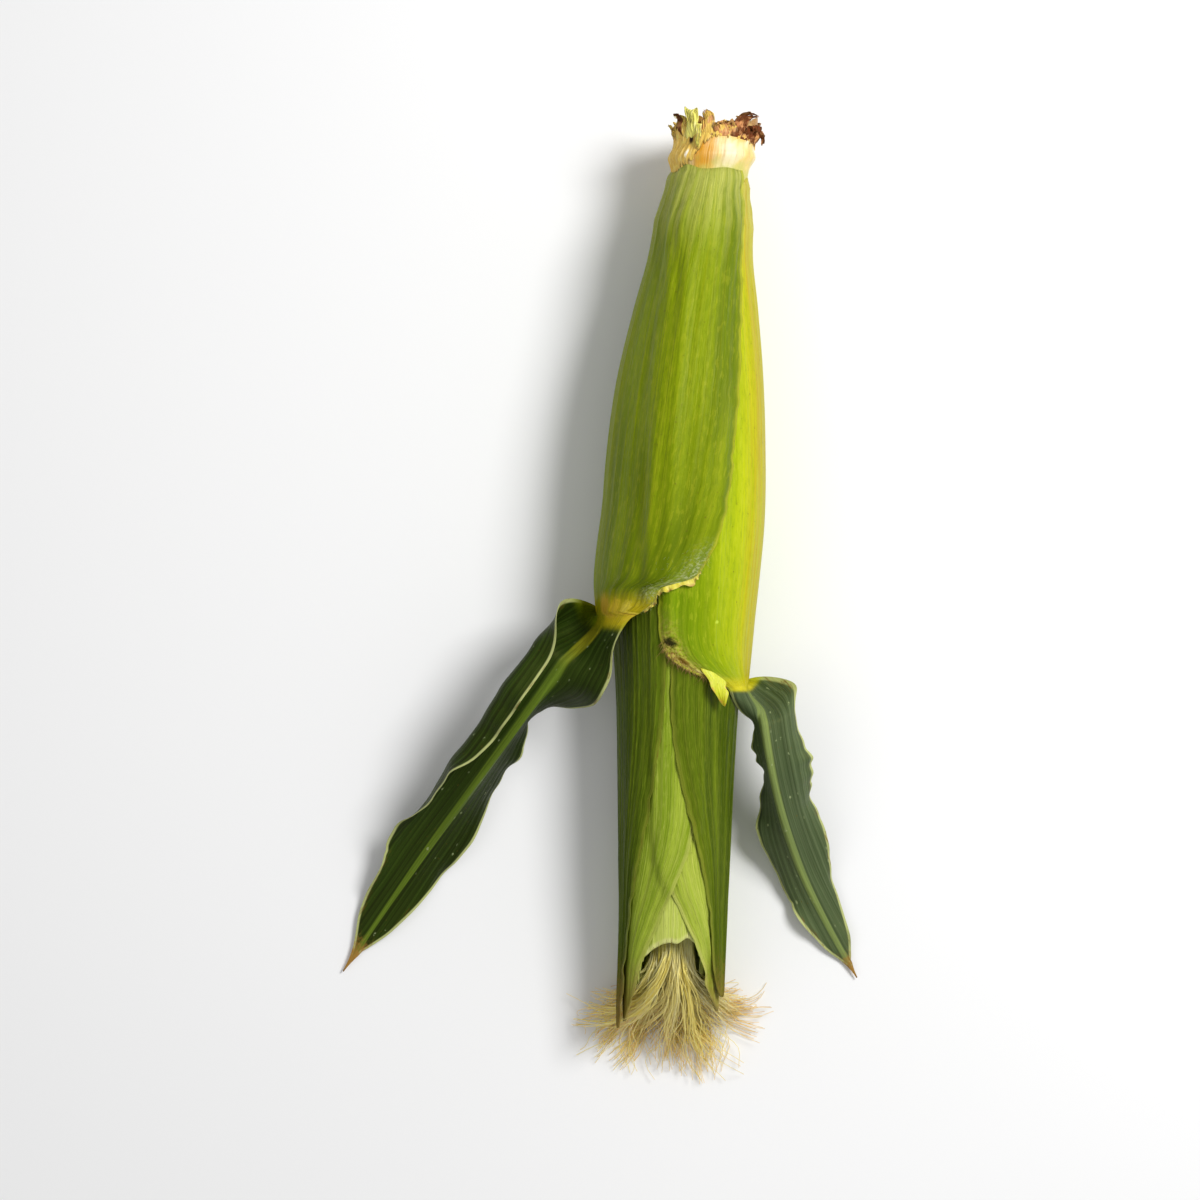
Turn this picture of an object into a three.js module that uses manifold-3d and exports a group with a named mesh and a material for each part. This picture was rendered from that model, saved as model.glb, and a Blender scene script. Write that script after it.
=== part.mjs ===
// An ear of sweet corn as picked, still in its husk, lying on its belly.
//
// The ear runs along Y: the snapped shank at +Y, the silk at -Y. It rests on the plane Z = 0.
// Shapes are worked out round the ear's own axis. "along" is the distance in millimetres from the cut
// end of the shank towards the silk. "angle" is in degrees round the axis: 0 is the top, 90 is +X,
// 180 is the underside and -90 is -X.
//
// Husk leaves are thin closed shells that lie over each other. Each one drapes over the leaves below
// it, so the ear thickens where leaves overlap and steps down where a margin ends.

import * as THREE from 'three';
import { mergeVertices } from 'three/addons/utils/BufferGeometryUtils.js';
import Module from 'manifold-3d';

// ---------------------------------------------------------------- driving dimensions, millimetres

const shankRadius = 12.4;
const bodyRadius = 21.8; // thickest point of the wrapped inner husk
const bundleStart = 44; // where the inner husk begins, inside the leaf bases
const bundleEnd = 272; // where the silk leaves the inner husk
const leafThickness = 0.62;
const ribHeight = 0.24; // raised veins on a husk leaf
const leafGap = 0.42; // clear space between one leaf and the next
const layerPitch = leafThickness + ribHeight + leafGap;
const columnStep = 12; // degrees between the lines of the lattice that all leaves share
const rowStep = 15; // millimetres between its rings
const flatReach = 60; // degrees either side of the underside where the ear may be flattened
const centreAlong = 150.2; // the point of the axis that the part's origin lies under
const centreAcross = -24.5; // sideways from the axis to the middle of the whole part

// Radius of the shank and of the wrapped inner husk, as [along, radius].
const bodyProfile = [
  [-6, shankRadius + 0.4],
  [8, shankRadius],
  [24, shankRadius - 0.7],
  [42, shankRadius],
  [60, 0.72 * bodyRadius],
  [82, 0.88 * bodyRadius],
  [104, 0.97 * bodyRadius],
  [124, bodyRadius],
  [142, 0.96 * bodyRadius],
  [160, 0.86 * bodyRadius],
  [178, 0.78 * bodyRadius],
  [205, 0.72 * bodyRadius],
  [240, 0.67 * bodyRadius],
  [bundleEnd, 0.6 * bodyRadius],
  [300, 0.5 * bodyRadius],
];

// Height of the ear's axis. The ear rests on its thick part, so the axis sinks towards the slim tip.
const axisHeights = [[-10, 27.2], [40, 26.6], [80, 25.7], [104, 25], [124, 24.3], [142, 23.4], [160, 22.5], [180, 21.6], [210, 20.3], [250, 18.9], [300, 17.2]];

const flagLeafLeft = 'flag_leaf_left';
const flagLeafRight = 'flag_leaf_right';

// Husk leaves from the innermost to the outermost. centre is the angle of the midrib, wrap how far the
// leaf reaches round the ear on either side of it, in degrees. It begins to narrow at the fraction
// taper of its length, and ends in a blunt tip that is the fraction tip as wide.
const longLeaves = [
  { name: 'husk_leaf_1', centre: 92, wrap: 112, from: 36, to: 279, taper: 0.76, tip: 0.32 },
  { name: 'husk_leaf_2', centre: -86, wrap: 108, from: 33, to: 282, taper: 0.72, tip: 0.28 },
  { name: 'husk_leaf_3', centre: 74, wrap: 82, from: 30, to: 274, taper: 0.6, tip: 0.2 },
  { name: 'husk_leaf_4', centre: -82, wrap: 70, from: 27, to: 284, taper: 0.56, tip: 0.18 },
  { name: 'husk_leaf_5', centre: 178, wrap: 58, from: 24, to: 277, taper: 0.6, tip: 0.22 },
];

// The two outer leaves, each a sheath round the ear that ends at its ligule in a free green blade.
// before and after are the sheath's reach towards lower and higher angles, as [along, degrees], and
// flare is how far it stands off the ear at the ligule. midrib is [x, along, z] along the blade.
// Everything else is [share of the blade's length, value]: turn is how its face is turned, and each
// half has its width, the angle at which it rises from the midrib and how far it rolls over towards its
// margin. leaves is where a half has left the ear, and sweep how far its corner reaches back.
const flagLeaves = [
  {
    name: flagLeafRight,
    centre: 84,
    from: 20,
    ligule: 177,
    before: [[20, 128], [60, 116], [110, 106], [150, 102], [164, 99], [171, 82], [177, 44]],
    after: [[20, 74], [60, 66], [120, 60], [160, 52], [177, 42]],
    flare: 1.2,
    bladeRows: 18,
    midrib: [[25, 177, 28], [26, 189, 30.5], [28.6, 204, 28.4], [33, 220, 20], [39.5, 237, 9.5], [48, 254, 2.9], [57, 270, 1]],
    turn: [[0, 40], [0.1, 12], [0.3, 4], [0.6, 0], [1, 0]],
    halves: [
      {
        width: [[0, 8], [0.12, 8], [0.25, 10], [0.4, 11.5], [0.6, 10.5], [0.8, 6.5], [1, 0.8]],
        rise: [[0, -10], [0.08, -50], [0.2, -78], [0.38, -78], [0.55, -48], [0.8, -12], [1, 0]],
        roll: [[0, 0], [1, 0]],
        leaves: 0.16,
        sweep: 0,
      },
      {
        width: [[0, 8], [0.03, 10.5], [0.08, 12], [0.18, 13], [0.3, 14], [0.45, 13.8], [0.62, 11.5], [0.8, 7], [1, 0.8]],
        rise: [[0, 10], [0.12, 2], [0.4, -14], [0.6, -18], [0.8, -8], [1, 0]],
        roll: [[0, -30], [0.2, -34], [0.5, -18], [1, 0]],
        leaves: 0.11,
        sweep: 9,
      },
    ],
  },
  {
    name: flagLeafLeft,
    centre: -78,
    from: 17,
    ligule: 155,
    before: [[17, 88], [60, 78], [110, 70], [140, 58], [155, 44]],
    after: [[17, 134], [60, 122], [100, 113], [124, 105], [138, 94], [144, 84], [147, 64], [152, 57], [155, 44]],
    flare: 3.2,
    bladeRows: 22,
    midrib: [[-27, 155, 31], [-36, 170, 35], [-48, 187, 33], [-62, 206, 22], [-77, 226, 9.5], [-91, 246, 3], [-106, 268, 1]],
    turn: [[0, -40], [0.12, -18], [0.3, -8], [0.5, -3], [0.7, 0], [1, 0]],
    halves: [
      {
        width: [[0, 15], [0.08, 19], [0.18, 22], [0.36, 22], [0.55, 17.5], [0.75, 11], [0.88, 6.5], [1, 0.8]],
        rise: [[0, 14], [0.15, 6], [0.4, 2], [0.7, 4], [1, 0]],
        roll: [[0, 80], [0.08, 120], [0.18, 168], [0.36, 176], [0.5, 130], [0.66, 60], [0.82, 16], [1, 0]],
        leaves: 0.1,
        sweep: 5.5,
      },
      {
        width: [[0, 12], [0.1, 15], [0.2, 15.5], [0.35, 13.5], [0.55, 12.5], [0.75, 9.5], [0.9, 5], [1, 0.8]],
        rise: [[0, 8], [0.12, 6], [0.18, -4], [0.25, -62], [0.33, -84], [0.48, -70], [0.65, -34], [0.82, -8], [1, 0]],
        roll: [[0, 10], [0.12, 18], [0.2, 6], [0.3, 0], [1, 0]],
        leaves: 0.12,
        sweep: 0,
      },
    ],
  },
];

// ---------------------------------------------------------------- small maths

const degree = Math.PI / 180;
const clamp = (x) => Math.min(1, Math.max(0, x));
const smooth = (from, to, x) => {
  const t = clamp((x - from) / (to - from));
  return t * t * (3 - 2 * t);
};
const mix = (a, b, t) => a + (b - a) * t;
const turned = (angle) => angle - 360 * Math.round(angle / 360);

// A smooth line through [x, value] knots, read at x: a cubic with the slopes of its neighbours.
function through(knots, x) {
  const last = knots.length - 1;
  if (x <= knots[0][0]) return knots[0][1];
  if (x >= knots[last][0]) return knots[last][1];
  const i = knots.findIndex((knot, k) => k < last && x < knots[k + 1][0]);
  const slope = (k) => {
    const a = knots[Math.max(0, k - 1)];
    const b = knots[Math.min(last, k + 1)];
    return (b[1] - a[1]) / (b[0] - a[0]);
  };
  const [x0, y0] = knots[i];
  const [x1, y1] = knots[i + 1];
  const h = x1 - x0;
  const t = (x - x0) / h;
  const start = (1 + 2 * t) * (1 - t) ** 2 * y0 + t * (1 - t) ** 2 * h * slope(i);
  return start + t * t * (3 - 2 * t) * y1 + t * t * (t - 1) * h * slope(i + 1);
}

// ---------------------------------------------------------------- the ear's axis and its layers

// The shank leans towards +X.
const axisAcross = (along) => 9.5 * Math.exp(-along / 60) - 0.02 * (along - 150);
const axisUp = (along) => through(axisHeights, along);

function place(along, angle, radius) {
  return new THREE.Vector3(
    axisAcross(along) + radius * Math.sin(angle * degree),
    along,
    axisUp(along) + radius * Math.cos(angle * degree),
  );
}

// How far a leaf reaches at a place along the ear: [towards lower angles, towards higher angles].
function reach(leaf, along) {
  if (leaf.wrap) {
    const v = (along - leaf.from) / (leaf.to - leaf.from);
    const narrow = leaf.wrap * (1 - (1 - leaf.tip) * smooth(leaf.taper, 1, v) ** 1.15);
    const clasp = 14 * smooth(0.12, 0, v);
    return [narrow + clasp, narrow + clasp];
  }
  return [through(leaf.before, along), through(leaf.after, along)];
}

const leafEnd = (leaf) => leaf.to ?? leaf.ligule;

// 1 where a leaf lies and within one step of the lattice of it, then falling smoothly to 0.
function cover(leaf, along, angle) {
  const within = (x) => Math.min(leafEnd(leaf), Math.max(leaf.from, x));
  const near = [-rowStep, 0, rowStep].map((step) => reach(leaf, within(along + step)));
  const side = turned(angle - leaf.centre);
  const widest = Math.max(...near.map(([before, after]) => (side < 0 ? before : after)));
  const pastMargin = Math.abs(side) - widest;
  const pastEnd = Math.abs(along - within(along));
  return (1 - smooth(columnStep, 2.4 * columnStep, pastMargin)) * (1 - smooth(rowStep, 2 * rowStep, pastEnd));
}

const leaves = [...longLeaves, ...flagLeaves];

// Height of the leaves below this level over the inner husk.
function stackHeight(level, along, angle) {
  let height = 0;
  for (let i = 0; i < level; i += 1) height += layerPitch * cover(leaves[i], along, angle);
  return height;
}

// Gentle flutes and a slight oval in the wrapped ear.
function bodyShape(along, angle) {
  const round = through(bodyProfile, along);
  const swell = smooth(bundleStart, 90, along);
  const flutes = 0.32 * Math.cos(5 * angle * degree + along / 60) + 0.2 * Math.cos(8 * angle * degree - along / 45);
  return round + swell * flutes;
}

// Leaf tips and free margins stand a little off the ear, the outer leaves more than the inner ones.
const tipLift = (level, along) => (0.9 + 0.6 * level) * smooth(240, 292, along);

// Radius of the base that all leaves lie on, flattened where the whole stack would reach below Z = 0.
function baseRadius(along, angle) {
  const base = bodyShape(along, angle);
  const fromBottom = turned(angle - 180);
  if (Math.abs(fromBottom) > flatReach) return base;
  const top = longLeaves.length - 1;
  const outermost = base + stackHeight(top, along, angle) + leafGap + leafThickness + tipLift(top, along);
  return base - Math.max(0, outermost - axisUp(along) / Math.cos(fromBottom * degree));
}

// The sheath of a flag leaf opens round the midrib where its blade begins.
function flare(leaf, along, angle) {
  if (!leaf.flare) return 0;
  const nearMidrib = smooth(78, 34, Math.abs(turned(angle - leaf.centre)));
  return leaf.flare * smooth(leaf.ligule - 38, leaf.ligule - 5, along) * nearMidrib;
}

const layerRadius = (level, along, angle) =>
  baseRadius(along, angle) + stackHeight(level, along, angle) + leafGap + tipLift(level, along)
  + flare(leaves[level], along, angle);

// ---------------------------------------------------------------- closed meshes

// Turns rows of points into a closed geometry. Faces are given by vertex numbers and may be either way
// round as a whole: the volume's sign says whether they have to be turned.
function closed(points, faces) {
  const positions = new Float32Array(points.length * 3);
  points.forEach((p, i) => {
    const height = Math.abs(p.z) < 1e-3 ? 0 : p.z;
    positions.set([p.x - centreAcross, centreAlong - p.y, height], i * 3);
  });
  const at = (i) => new THREE.Vector3().fromArray(positions, i * 3);
  const volume = faces.reduce((sum, [a, b, c]) => sum + at(a).dot(at(b).cross(at(c))), 0);
  const index = faces.flatMap(([a, b, c]) => (volume < 0 ? [a, c, b] : [a, b, c]));
  const geometry = new THREE.BufferGeometry();
  geometry.setAttribute('position', new THREE.BufferAttribute(positions, 3));
  geometry.setIndex(index);
  geometry.computeVertexNormals();
  return geometry;
}

// Both sides of a thin leaf, joined round the rim. sheet(row, column) gives [inner point, outer point].
function thinShell(rows, columns, sheet) {
  const points = [];
  for (let r = 0; r < rows; r += 1) {
    for (let c = 0; c < columns; c += 1) points.push(...sheet(r, c));
  }
  const inner = (r, c) => 2 * (r * columns + c);
  const outer = (r, c) => inner(r, c) + 1;
  const faces = [];
  for (let r = 0; r + 1 < rows; r += 1) {
    for (let c = 0; c + 1 < columns; c += 1) {
      faces.push([inner(r, c), inner(r, c + 1), inner(r + 1, c + 1)]);
      faces.push([inner(r, c), inner(r + 1, c + 1), inner(r + 1, c)]);
      faces.push([outer(r, c), outer(r + 1, c + 1), outer(r, c + 1)]);
      faces.push([outer(r, c), outer(r + 1, c), outer(r + 1, c + 1)]);
    }
  }
  const rim = [];
  for (let c = 0; c < columns; c += 1) rim.push([0, c]);
  for (let r = 1; r < rows; r += 1) rim.push([r, columns - 1]);
  for (let c = columns - 2; c >= 0; c -= 1) rim.push([rows - 1, c]);
  for (let r = rows - 2; r > 0; r -= 1) rim.push([r, 0]);
  rim.forEach(([r, c], i) => {
    const [nextRow, nextColumn] = rim[(i + 1) % rim.length];
    const [a, b] = [inner(r, c), inner(nextRow, nextColumn)];
    faces.push([a, a + 1, b + 1], [a, b + 1, b]);
  });
  return closed(points, faces);
}

// A closed body from rings of points, each ring with the same count, capped by a point at each end.
function ringBody(rings, firstCap, lastCap) {
  const count = rings[0].length;
  const points = [...rings.flat(), firstCap, lastCap];
  const [first, last] = [points.length - 2, points.length - 1];
  const faces = [];
  for (let i = 0; i < count; i += 1) {
    const next = (i + 1) % count;
    faces.push([first, next, i]);
    faces.push([last, (rings.length - 1) * count + i, (rings.length - 1) * count + next]);
    for (let r = 0; r + 1 < rings.length; r += 1) {
      const [a, b] = [r * count + i, r * count + next];
      faces.push([a, b, b + count], [a, b + count, a + count]);
    }
  }
  return closed(points, faces);
}

// ---------------------------------------------------------------- solids

const wasm = await Module();
wasm.setup();

function solidOf(geometry) {
  const bare = mergeVertices(geometry.deleteAttribute('normal'), 1e-4);
  return new wasm.Manifold(new wasm.Mesh({
    numProp: 3,
    vertProperties: bare.attributes.position.array,
    triVerts: new Uint32Array(bare.index.array),
  }));
}

// The largest body of a solid. It drops loose scraps, and fills hollows that joining has sealed off.
const largest = (solid) =>
  solid.decompose().reduce((best, body) => (body.volume() > best.volume() ? body : best));

function geometryOf(solid) {
  const mesh = solid.getMesh();
  const geometry = new THREE.BufferGeometry();
  geometry.setAttribute('position', new THREE.BufferAttribute(mesh.vertProperties, 3));
  geometry.setIndex(new THREE.BufferAttribute(mesh.triVerts, 1));
  geometry.computeVertexNormals();
  return geometry;
}

// ---------------------------------------------------------------- shank

const shankSides = 24;
const shankNode = 13; // the ring where a leaf once grew

function shankRing(along, scale, ragged = 0) {
  return Array.from({ length: shankSides }, (_, i) => {
    const angle = (360 / shankSides) * i;
    const flute = i % 2 ? 0.22 : 0;
    const ring = 1.15 * Math.exp(-(((along - shankNode) / 2.2) ** 2));
    const uneven = ragged * Math.sin(angle * 3 * degree + 1) + ragged * 0.8 * Math.cos(angle * 7 * degree);
    return place(along + uneven, angle, (through(bodyProfile, along) + ring - flute) * scale);
  });
}

function shank() {
  const rings = [
    shankRing(3.4, 0.42, 0.3),
    shankRing(1.8, 0.74, 0.5),
    shankRing(1.6, 0.95, 0.9),
    shankRing(3, 1, 0.7),
    ...[6, 10, 12, 14, 16.5, 22, 29, 36, 42].map((along) => shankRing(along, 1)),
  ];
  return ringBody(rings, place(4.2, 0, 0), place(43.4, 0, 0));
}

// The torn foot of a stalk leaf round the shank: tall rags on its left, a curled lip on its right.
// heightKnots are [angle, how far the rag stands from its foot], curlKnots [angle, how far it leans out].
function tornSheath() {
  const [rows, columns, foot] = [6, 27, 9.4];
  const heightKnots = [[-112, 4], [-80, 7], [-58, 11], [-42, 14.5], [-24, 12], [-8, 7.5], [16, 7], [40, 9], [66, 11.5], [92, 10], [120, 6], [150, 3.5]];
  const curlKnots = [[-112, 0], [-60, 0.3], [-42, -1.5], [-20, -3], [0, -0.8], [40, 1.2], [70, 3.4], [100, 2.4], [150, 0.4]];
  return thinShell(rows, columns, (row, column) => {
    const angle = mix(-112, 150, column / (columns - 1));
    const up = row / (rows - 1);
    const tear = (column % 2 ? 1.9 : 0) + 0.9 * Math.sin(angle * 0.21);
    const along = foot - up * (through(heightKnots, angle) - tear * up);
    const round = Math.max(through(bodyProfile, foot), through(bodyProfile, along));
    const curl = through(curlKnots, angle);
    const radius = round + 0.9 + curl * (curl < 0 ? smooth(0.8, -3.6, along) : smooth(0.35, 1, up));
    return [place(along, angle, radius), place(along, angle, radius + leafThickness)];
  });
}

// ---------------------------------------------------------------- inner husk

function innerHusk() {
  const ringAt = (along, scale) =>
    Array.from({ length: 360 / columnStep }, (_, i) => {
      const angle = i * columnStep;
      const pleat = i % 2 ? 0 : ribHeight;
      return place(along, angle, (baseRadius(along, angle) - pleat) * scale);
    });
  const rings = [];
  for (let along = rowStep * Math.ceil(bundleStart / rowStep); along < bundleEnd; along += rowStep) {
    rings.push(ringAt(along, 1));
  }
  rings.push(ringAt(bundleEnd, 0.97), ringAt(bundleEnd + 0.8, 0.84), ringAt(bundleEnd - 2.5, 0.62));
  return ringBody(rings, place(bundleStart, 0, 0), place(bundleEnd - 3.5, 0, 0));
}

// ---------------------------------------------------------------- husk leaves

// Every second line of the lattice is a raised vein. Veins fade out on the flat underside.
function rib(angle) {
  const isVein = Math.round(angle / columnStep) % 2 !== 0;
  return isVein ? ribHeight * smooth(26, 38, Math.abs(turned(angle - 180))) : 0;
}

// The part of the wrapped layers that one leaf takes: a lattice shell trimmed to the leaf's outline.
function sheathSolid(leaf, level) {
  const [from, to] = [leaf.from, leafEnd(leaf)];
  const firstRow = Math.floor(from / rowStep);
  const rows = Math.ceil(to / rowStep) - firstRow + 1;
  const alongs = Array.from({ length: 60 }, (_, i) => mix(from, to, i / 59));
  const [before, after] = [0, 1].map((side) => Math.max(...alongs.map((along) => reach(leaf, along)[side])));
  const firstColumn = Math.floor((leaf.centre - before) / columnStep);
  const columns = Math.ceil((leaf.centre + after) / columnStep) - firstColumn + 1;
  const layer = thinShell(rows, columns, (row, column) => {
    const along = (firstRow + row) * rowStep;
    const angle = (firstColumn + column) * columnStep;
    const radius = layerRadius(level, along, angle);
    return [place(along, angle, radius), place(along, angle, radius + leafThickness + rib(angle))];
  });
  const outlineRows = 25;
  const outlineColumns = 9;
  const outline = thinShell(outlineRows, outlineColumns, (row, column) => {
    const along = mix(from, to, (row / (outlineRows - 1)) ** (leaf.wrap ? 0.8 : 0.6));
    const u = (2 * column) / (outlineColumns - 1) - 1;
    const [lower, higher] = reach(leaf, along);
    const angle = leaf.centre + u * (u < 0 ? lower : higher);
    const radius = layerRadius(level, along, angle);
    return [place(along, angle, radius - 3), place(along, angle, radius + 3)];
  });
  return largest(solidOf(layer).intersect(solidOf(outline)).simplify(0.02));
}

// One half of a blade, cut across: how far across and up a point lies, and which way the half heads
// there. It sets off from the midrib at the angle rise and turns by roll more towards its margin.
function crossSection(half, t, share) {
  const steps = 14;
  const width = through(half.width, t);
  const rise = through(half.rise, t);
  const roll = through(half.roll, t);
  const heading = (s) => (rise + roll * smooth(0.28, 0.86, s)) * degree;
  let [across, up] = [0, 0];
  for (let i = 0; i < steps; i += 1) {
    const angle = heading((share * (i + 0.5)) / steps);
    across += (Math.cos(angle) * share * width) / steps;
    up += (Math.sin(angle) * share * width) / steps;
  }
  return [across, up, heading(share)];
}

// The free green blade past the ligule of a flag leaf, folded along its midrib and waved at its edges.
// It starts inside the sheath, which it grows from.
function bladeSolid(leaf, level) {
  const line = new THREE.CatmullRomCurve3(
    leaf.midrib.map(([x, y, z]) => new THREE.Vector3(x, y, z)),
    false,
    'catmullrom',
    0.5,
  );
  const length = line.getLength();

  // A point of the free blade and the way its upper face looks, at t along it and u across it.
  const onBlade = (t, u) => {
    const middle = line.getPoint(t);
    const ahead = line.getTangent(t);
    const level0 = new THREE.Vector3(ahead.y, -ahead.x, 0).normalize();
    const up = new THREE.Vector3().crossVectors(level0, ahead).normalize();
    if (up.z < 0) up.negate();
    const roll = through(leaf.turn, t) * degree;
    const across = level0.clone().multiplyScalar(Math.cos(roll)).addScaledVector(up, -Math.sin(roll));
    const out = up.clone().multiplyScalar(Math.cos(roll)).addScaledVector(level0, Math.sin(roll));
    const side = u < 0 ? -1 : 1;
    const half = leaf.halves[u < 0 ? 0 : 1];
    const [far, high, heading] = crossSection(half, t, Math.abs(u));
    const wavelength = 4.6;
    const wave = 1.7 * Math.abs(u) ** 3 * Math.sin((t * length) / wavelength + (u > 0 ? 0 : 1.7));
    const face = out.clone().multiplyScalar(Math.cos(heading)).addScaledVector(across, -side * Math.sin(heading));
    middle.addScaledVector(across, side * far).addScaledVector(out, high);
    middle.addScaledVector(face, wave * smooth(0, 0.15, t) * smooth(1, 0.8, t));
    middle.addScaledVector(ahead, -half.sweep * u * u * smooth(0.3, 0, t));
    return [middle, face];
  };

  const columns = 11;
  const rootRows = 2;
  return solidOf(thinShell(leaf.bladeRows + rootRows, columns, (row, column) => {
    const u = (2 * column) / (columns - 1) - 1;
    const t = row < rootRows ? row - rootRows + 1 : ((row - rootRows + 1) / leaf.bladeRows) ** 1.45;
    const past = Math.max(0, t);
    const along = leaf.ligule + (t < 0 ? -5 : t * 0.9 * length);
    const [before, after] = reach(leaf, leaf.ligule);
    const angle = leaf.centre + u * 0.97 * (u < 0 ? before : after);
    const point = place(along, angle, layerRadius(level, Math.min(along, leaf.ligule + 4), angle) + 0.2);
    const out = place(along, angle, 1).sub(place(along, angle, 0));
    const [bladePoint, bladeOut] = onBlade(past, u);
    // The midrib leaves the ear slowly, the margins at once, which rounds the blade's corners.
    const slow = smooth(0, 0.17, past);
    const quick = Math.sqrt(1 - (1 - Math.min(1, past / leaf.halves[u < 0 ? 0 : 1].leaves)) ** 2);
    const away = mix(slow, quick, Math.abs(u) ** 1.5);
    point.addScaledVector(out, 5 * smooth(0, 0.12, past)).lerp(bladePoint, away);
    out.lerp(bladeOut, away).normalize();
    const keel = 0.7 * (1 - Math.abs(u)) ** 6;
    const thickness = t <= 0 ? 0.3 : leafThickness + keel;
    const far = point.clone().addScaledVector(out, thickness);
    const sunk = Math.max(0, -Math.min(point.z, far.z));
    point.z += sunk;
    far.z += sunk;
    return [point, far];
  }));
}

const longLeaf = (leaf, level) => geometryOf(sheathSolid(leaf, level));
const flagLeaf = (leaf, level) =>
  geometryOf(largest(sheathSolid(leaf, level).add(bladeSolid(leaf, level))).simplify(0.02));

// ---------------------------------------------------------------- silk

// Numbers from 0 to 1 that look random and are the same on every run.
function seeded(seed) {
  let state = seed;
  return () => {
    state = (state * 16807) % 2147483647;
    return state / 2147483647;
  };
}

// One strand: a three-sided tapering tube along a line of points.
function strand(points, rootRadius, tipRadius) {
  const rings = points.map((p, i) => {
    const radius = mix(rootRadius, tipRadius, i / (points.length - 1));
    return [90, 210, 330].map((angle) => new THREE.Vector3(
      p.x + radius * Math.cos(angle * degree), p.y, p.z + radius * Math.sin(angle * degree),
    ));
  });
  return ringBody(rings, points[0].clone(), points[points.length - 1].clone());
}

// A plug in the mouth of the inner husk with locks of silk that curl to either side and fall.
function silk() {
  const root = bundleEnd - 1.8;
  const plugRadius = 7.2;
  const plugRing = (along, radius) => Array.from({ length: 10 }, (_, i) => place(along, 36 * i, radius));
  let whole = solidOf(ringBody(
    [plugRing(root, plugRadius - 0.6), plugRing(root + 5, plugRadius), plugRing(root + 10, plugRadius - 1.5)],
    place(root - 0.3, 0, 0), place(root + 13, 0, 0),
  ));
  const locks = 12;
  const strandsInLock = 3;
  const steps = 6;
  const random = seeded(20);
  const mouth = place(root + 2, 0, 0);
  for (let k = 0; k < locks; k += 1) {
    const aside = mix(-1, 1, (k + 0.5) / locks);
    const lockCurl = 0.7 * aside + mix(-1.7, 1.7, random());
    const lockLength = mix(27, 38, random());
    const lockLift = mix(-0.1, 0.55, random());
    for (let n = 0; n < strandsInLock; n += 1) {
      const curl = lockCurl + 0.6 * (random() - 0.5);
      const length = lockLength * mix(0.78, 1, random());
      const lift = lockLift + 0.2 * (random() - 0.5);
      const floor = 0.9 + 1.2 * random();
      const points = Array.from({ length: steps }, (_, i) => {
        const t = i / (steps - 1);
        const ahead = (length * Math.sin(curl * t)) / curl;
        const across = (length * (1 - Math.cos(curl * t))) / curl + 3 * aside * t * t;
        const z = mouth.z + 3 * (n - 1) + length * (lift * t - 1.05 * t ** 2);
        return new THREE.Vector3(mouth.x + 5.4 * aside + across, mouth.y + ahead, Math.max(floor, z));
      });
      whole = whole.add(solidOf(strand(points, 0.85, 0.6)));
    }
  }
  return geometryOf(largest(whole));
}

// ---------------------------------------------------------------- the ear

const finish = (color, roughness) => new THREE.MeshStandardMaterial({ color, roughness, metalness: 0, flatShading: true });
const materials = {
  shank: finish('#d9d2a0', 0.75),
  tornSheath: finish('#8a6a3c', 0.85),
  innerHusk: finish('#c9d27a', 0.6),
  huskLeaf: finish('#8fa83a', 0.55),
  flagLeaf: finish('#6f9226', 0.5),
  silk: finish('#d8c455', 0.5),
};

function piece(name, geometry, material) {
  const mesh = new THREE.Mesh(geometry, material);
  mesh.name = name;
  return mesh;
}

const ear = new THREE.Group();
ear.name = 'ear_of_corn';
ear.add(piece('shank', shank(), materials.shank));
ear.add(piece('torn_sheath', tornSheath(), materials.tornSheath));
ear.add(piece('inner_husk', innerHusk(), materials.innerHusk));
longLeaves.forEach((leaf, level) => ear.add(piece(leaf.name, longLeaf(leaf, level), materials.huskLeaf)));
flagLeaves.forEach((leaf, i) => {
  ear.add(piece(leaf.name, flagLeaf(leaf, longLeaves.length + i), materials.flagLeaf));
});
ear.add(piece('silk', silk(), materials.silk));

export default ear;
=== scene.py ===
"""The looks of an ear of sweet corn in its husk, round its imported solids.

Shapes are worked out round the ear's own axis, in millimetres, as they are in the solids: along runs
from the cut end of the shank to the silk, angle is in degrees round the axis (0 top, 90 +X, 180 the
underside), and framed() turns them into the frame's metres.
"""

import math

import bpy
import numpy as np
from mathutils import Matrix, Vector


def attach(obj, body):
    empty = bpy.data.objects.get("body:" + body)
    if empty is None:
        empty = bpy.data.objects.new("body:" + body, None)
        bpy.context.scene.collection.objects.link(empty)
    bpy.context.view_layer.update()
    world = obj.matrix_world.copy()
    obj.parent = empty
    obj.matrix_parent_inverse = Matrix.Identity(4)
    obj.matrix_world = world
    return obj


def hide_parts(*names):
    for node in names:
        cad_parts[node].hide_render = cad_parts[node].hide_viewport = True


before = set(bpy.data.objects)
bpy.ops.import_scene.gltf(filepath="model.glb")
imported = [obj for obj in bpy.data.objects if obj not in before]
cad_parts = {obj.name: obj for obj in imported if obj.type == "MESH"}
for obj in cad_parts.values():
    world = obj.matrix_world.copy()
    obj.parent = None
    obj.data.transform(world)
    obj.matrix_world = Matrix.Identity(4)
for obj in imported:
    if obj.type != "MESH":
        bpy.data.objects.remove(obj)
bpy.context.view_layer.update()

# --- the ear's measures, millimetres ---

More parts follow.
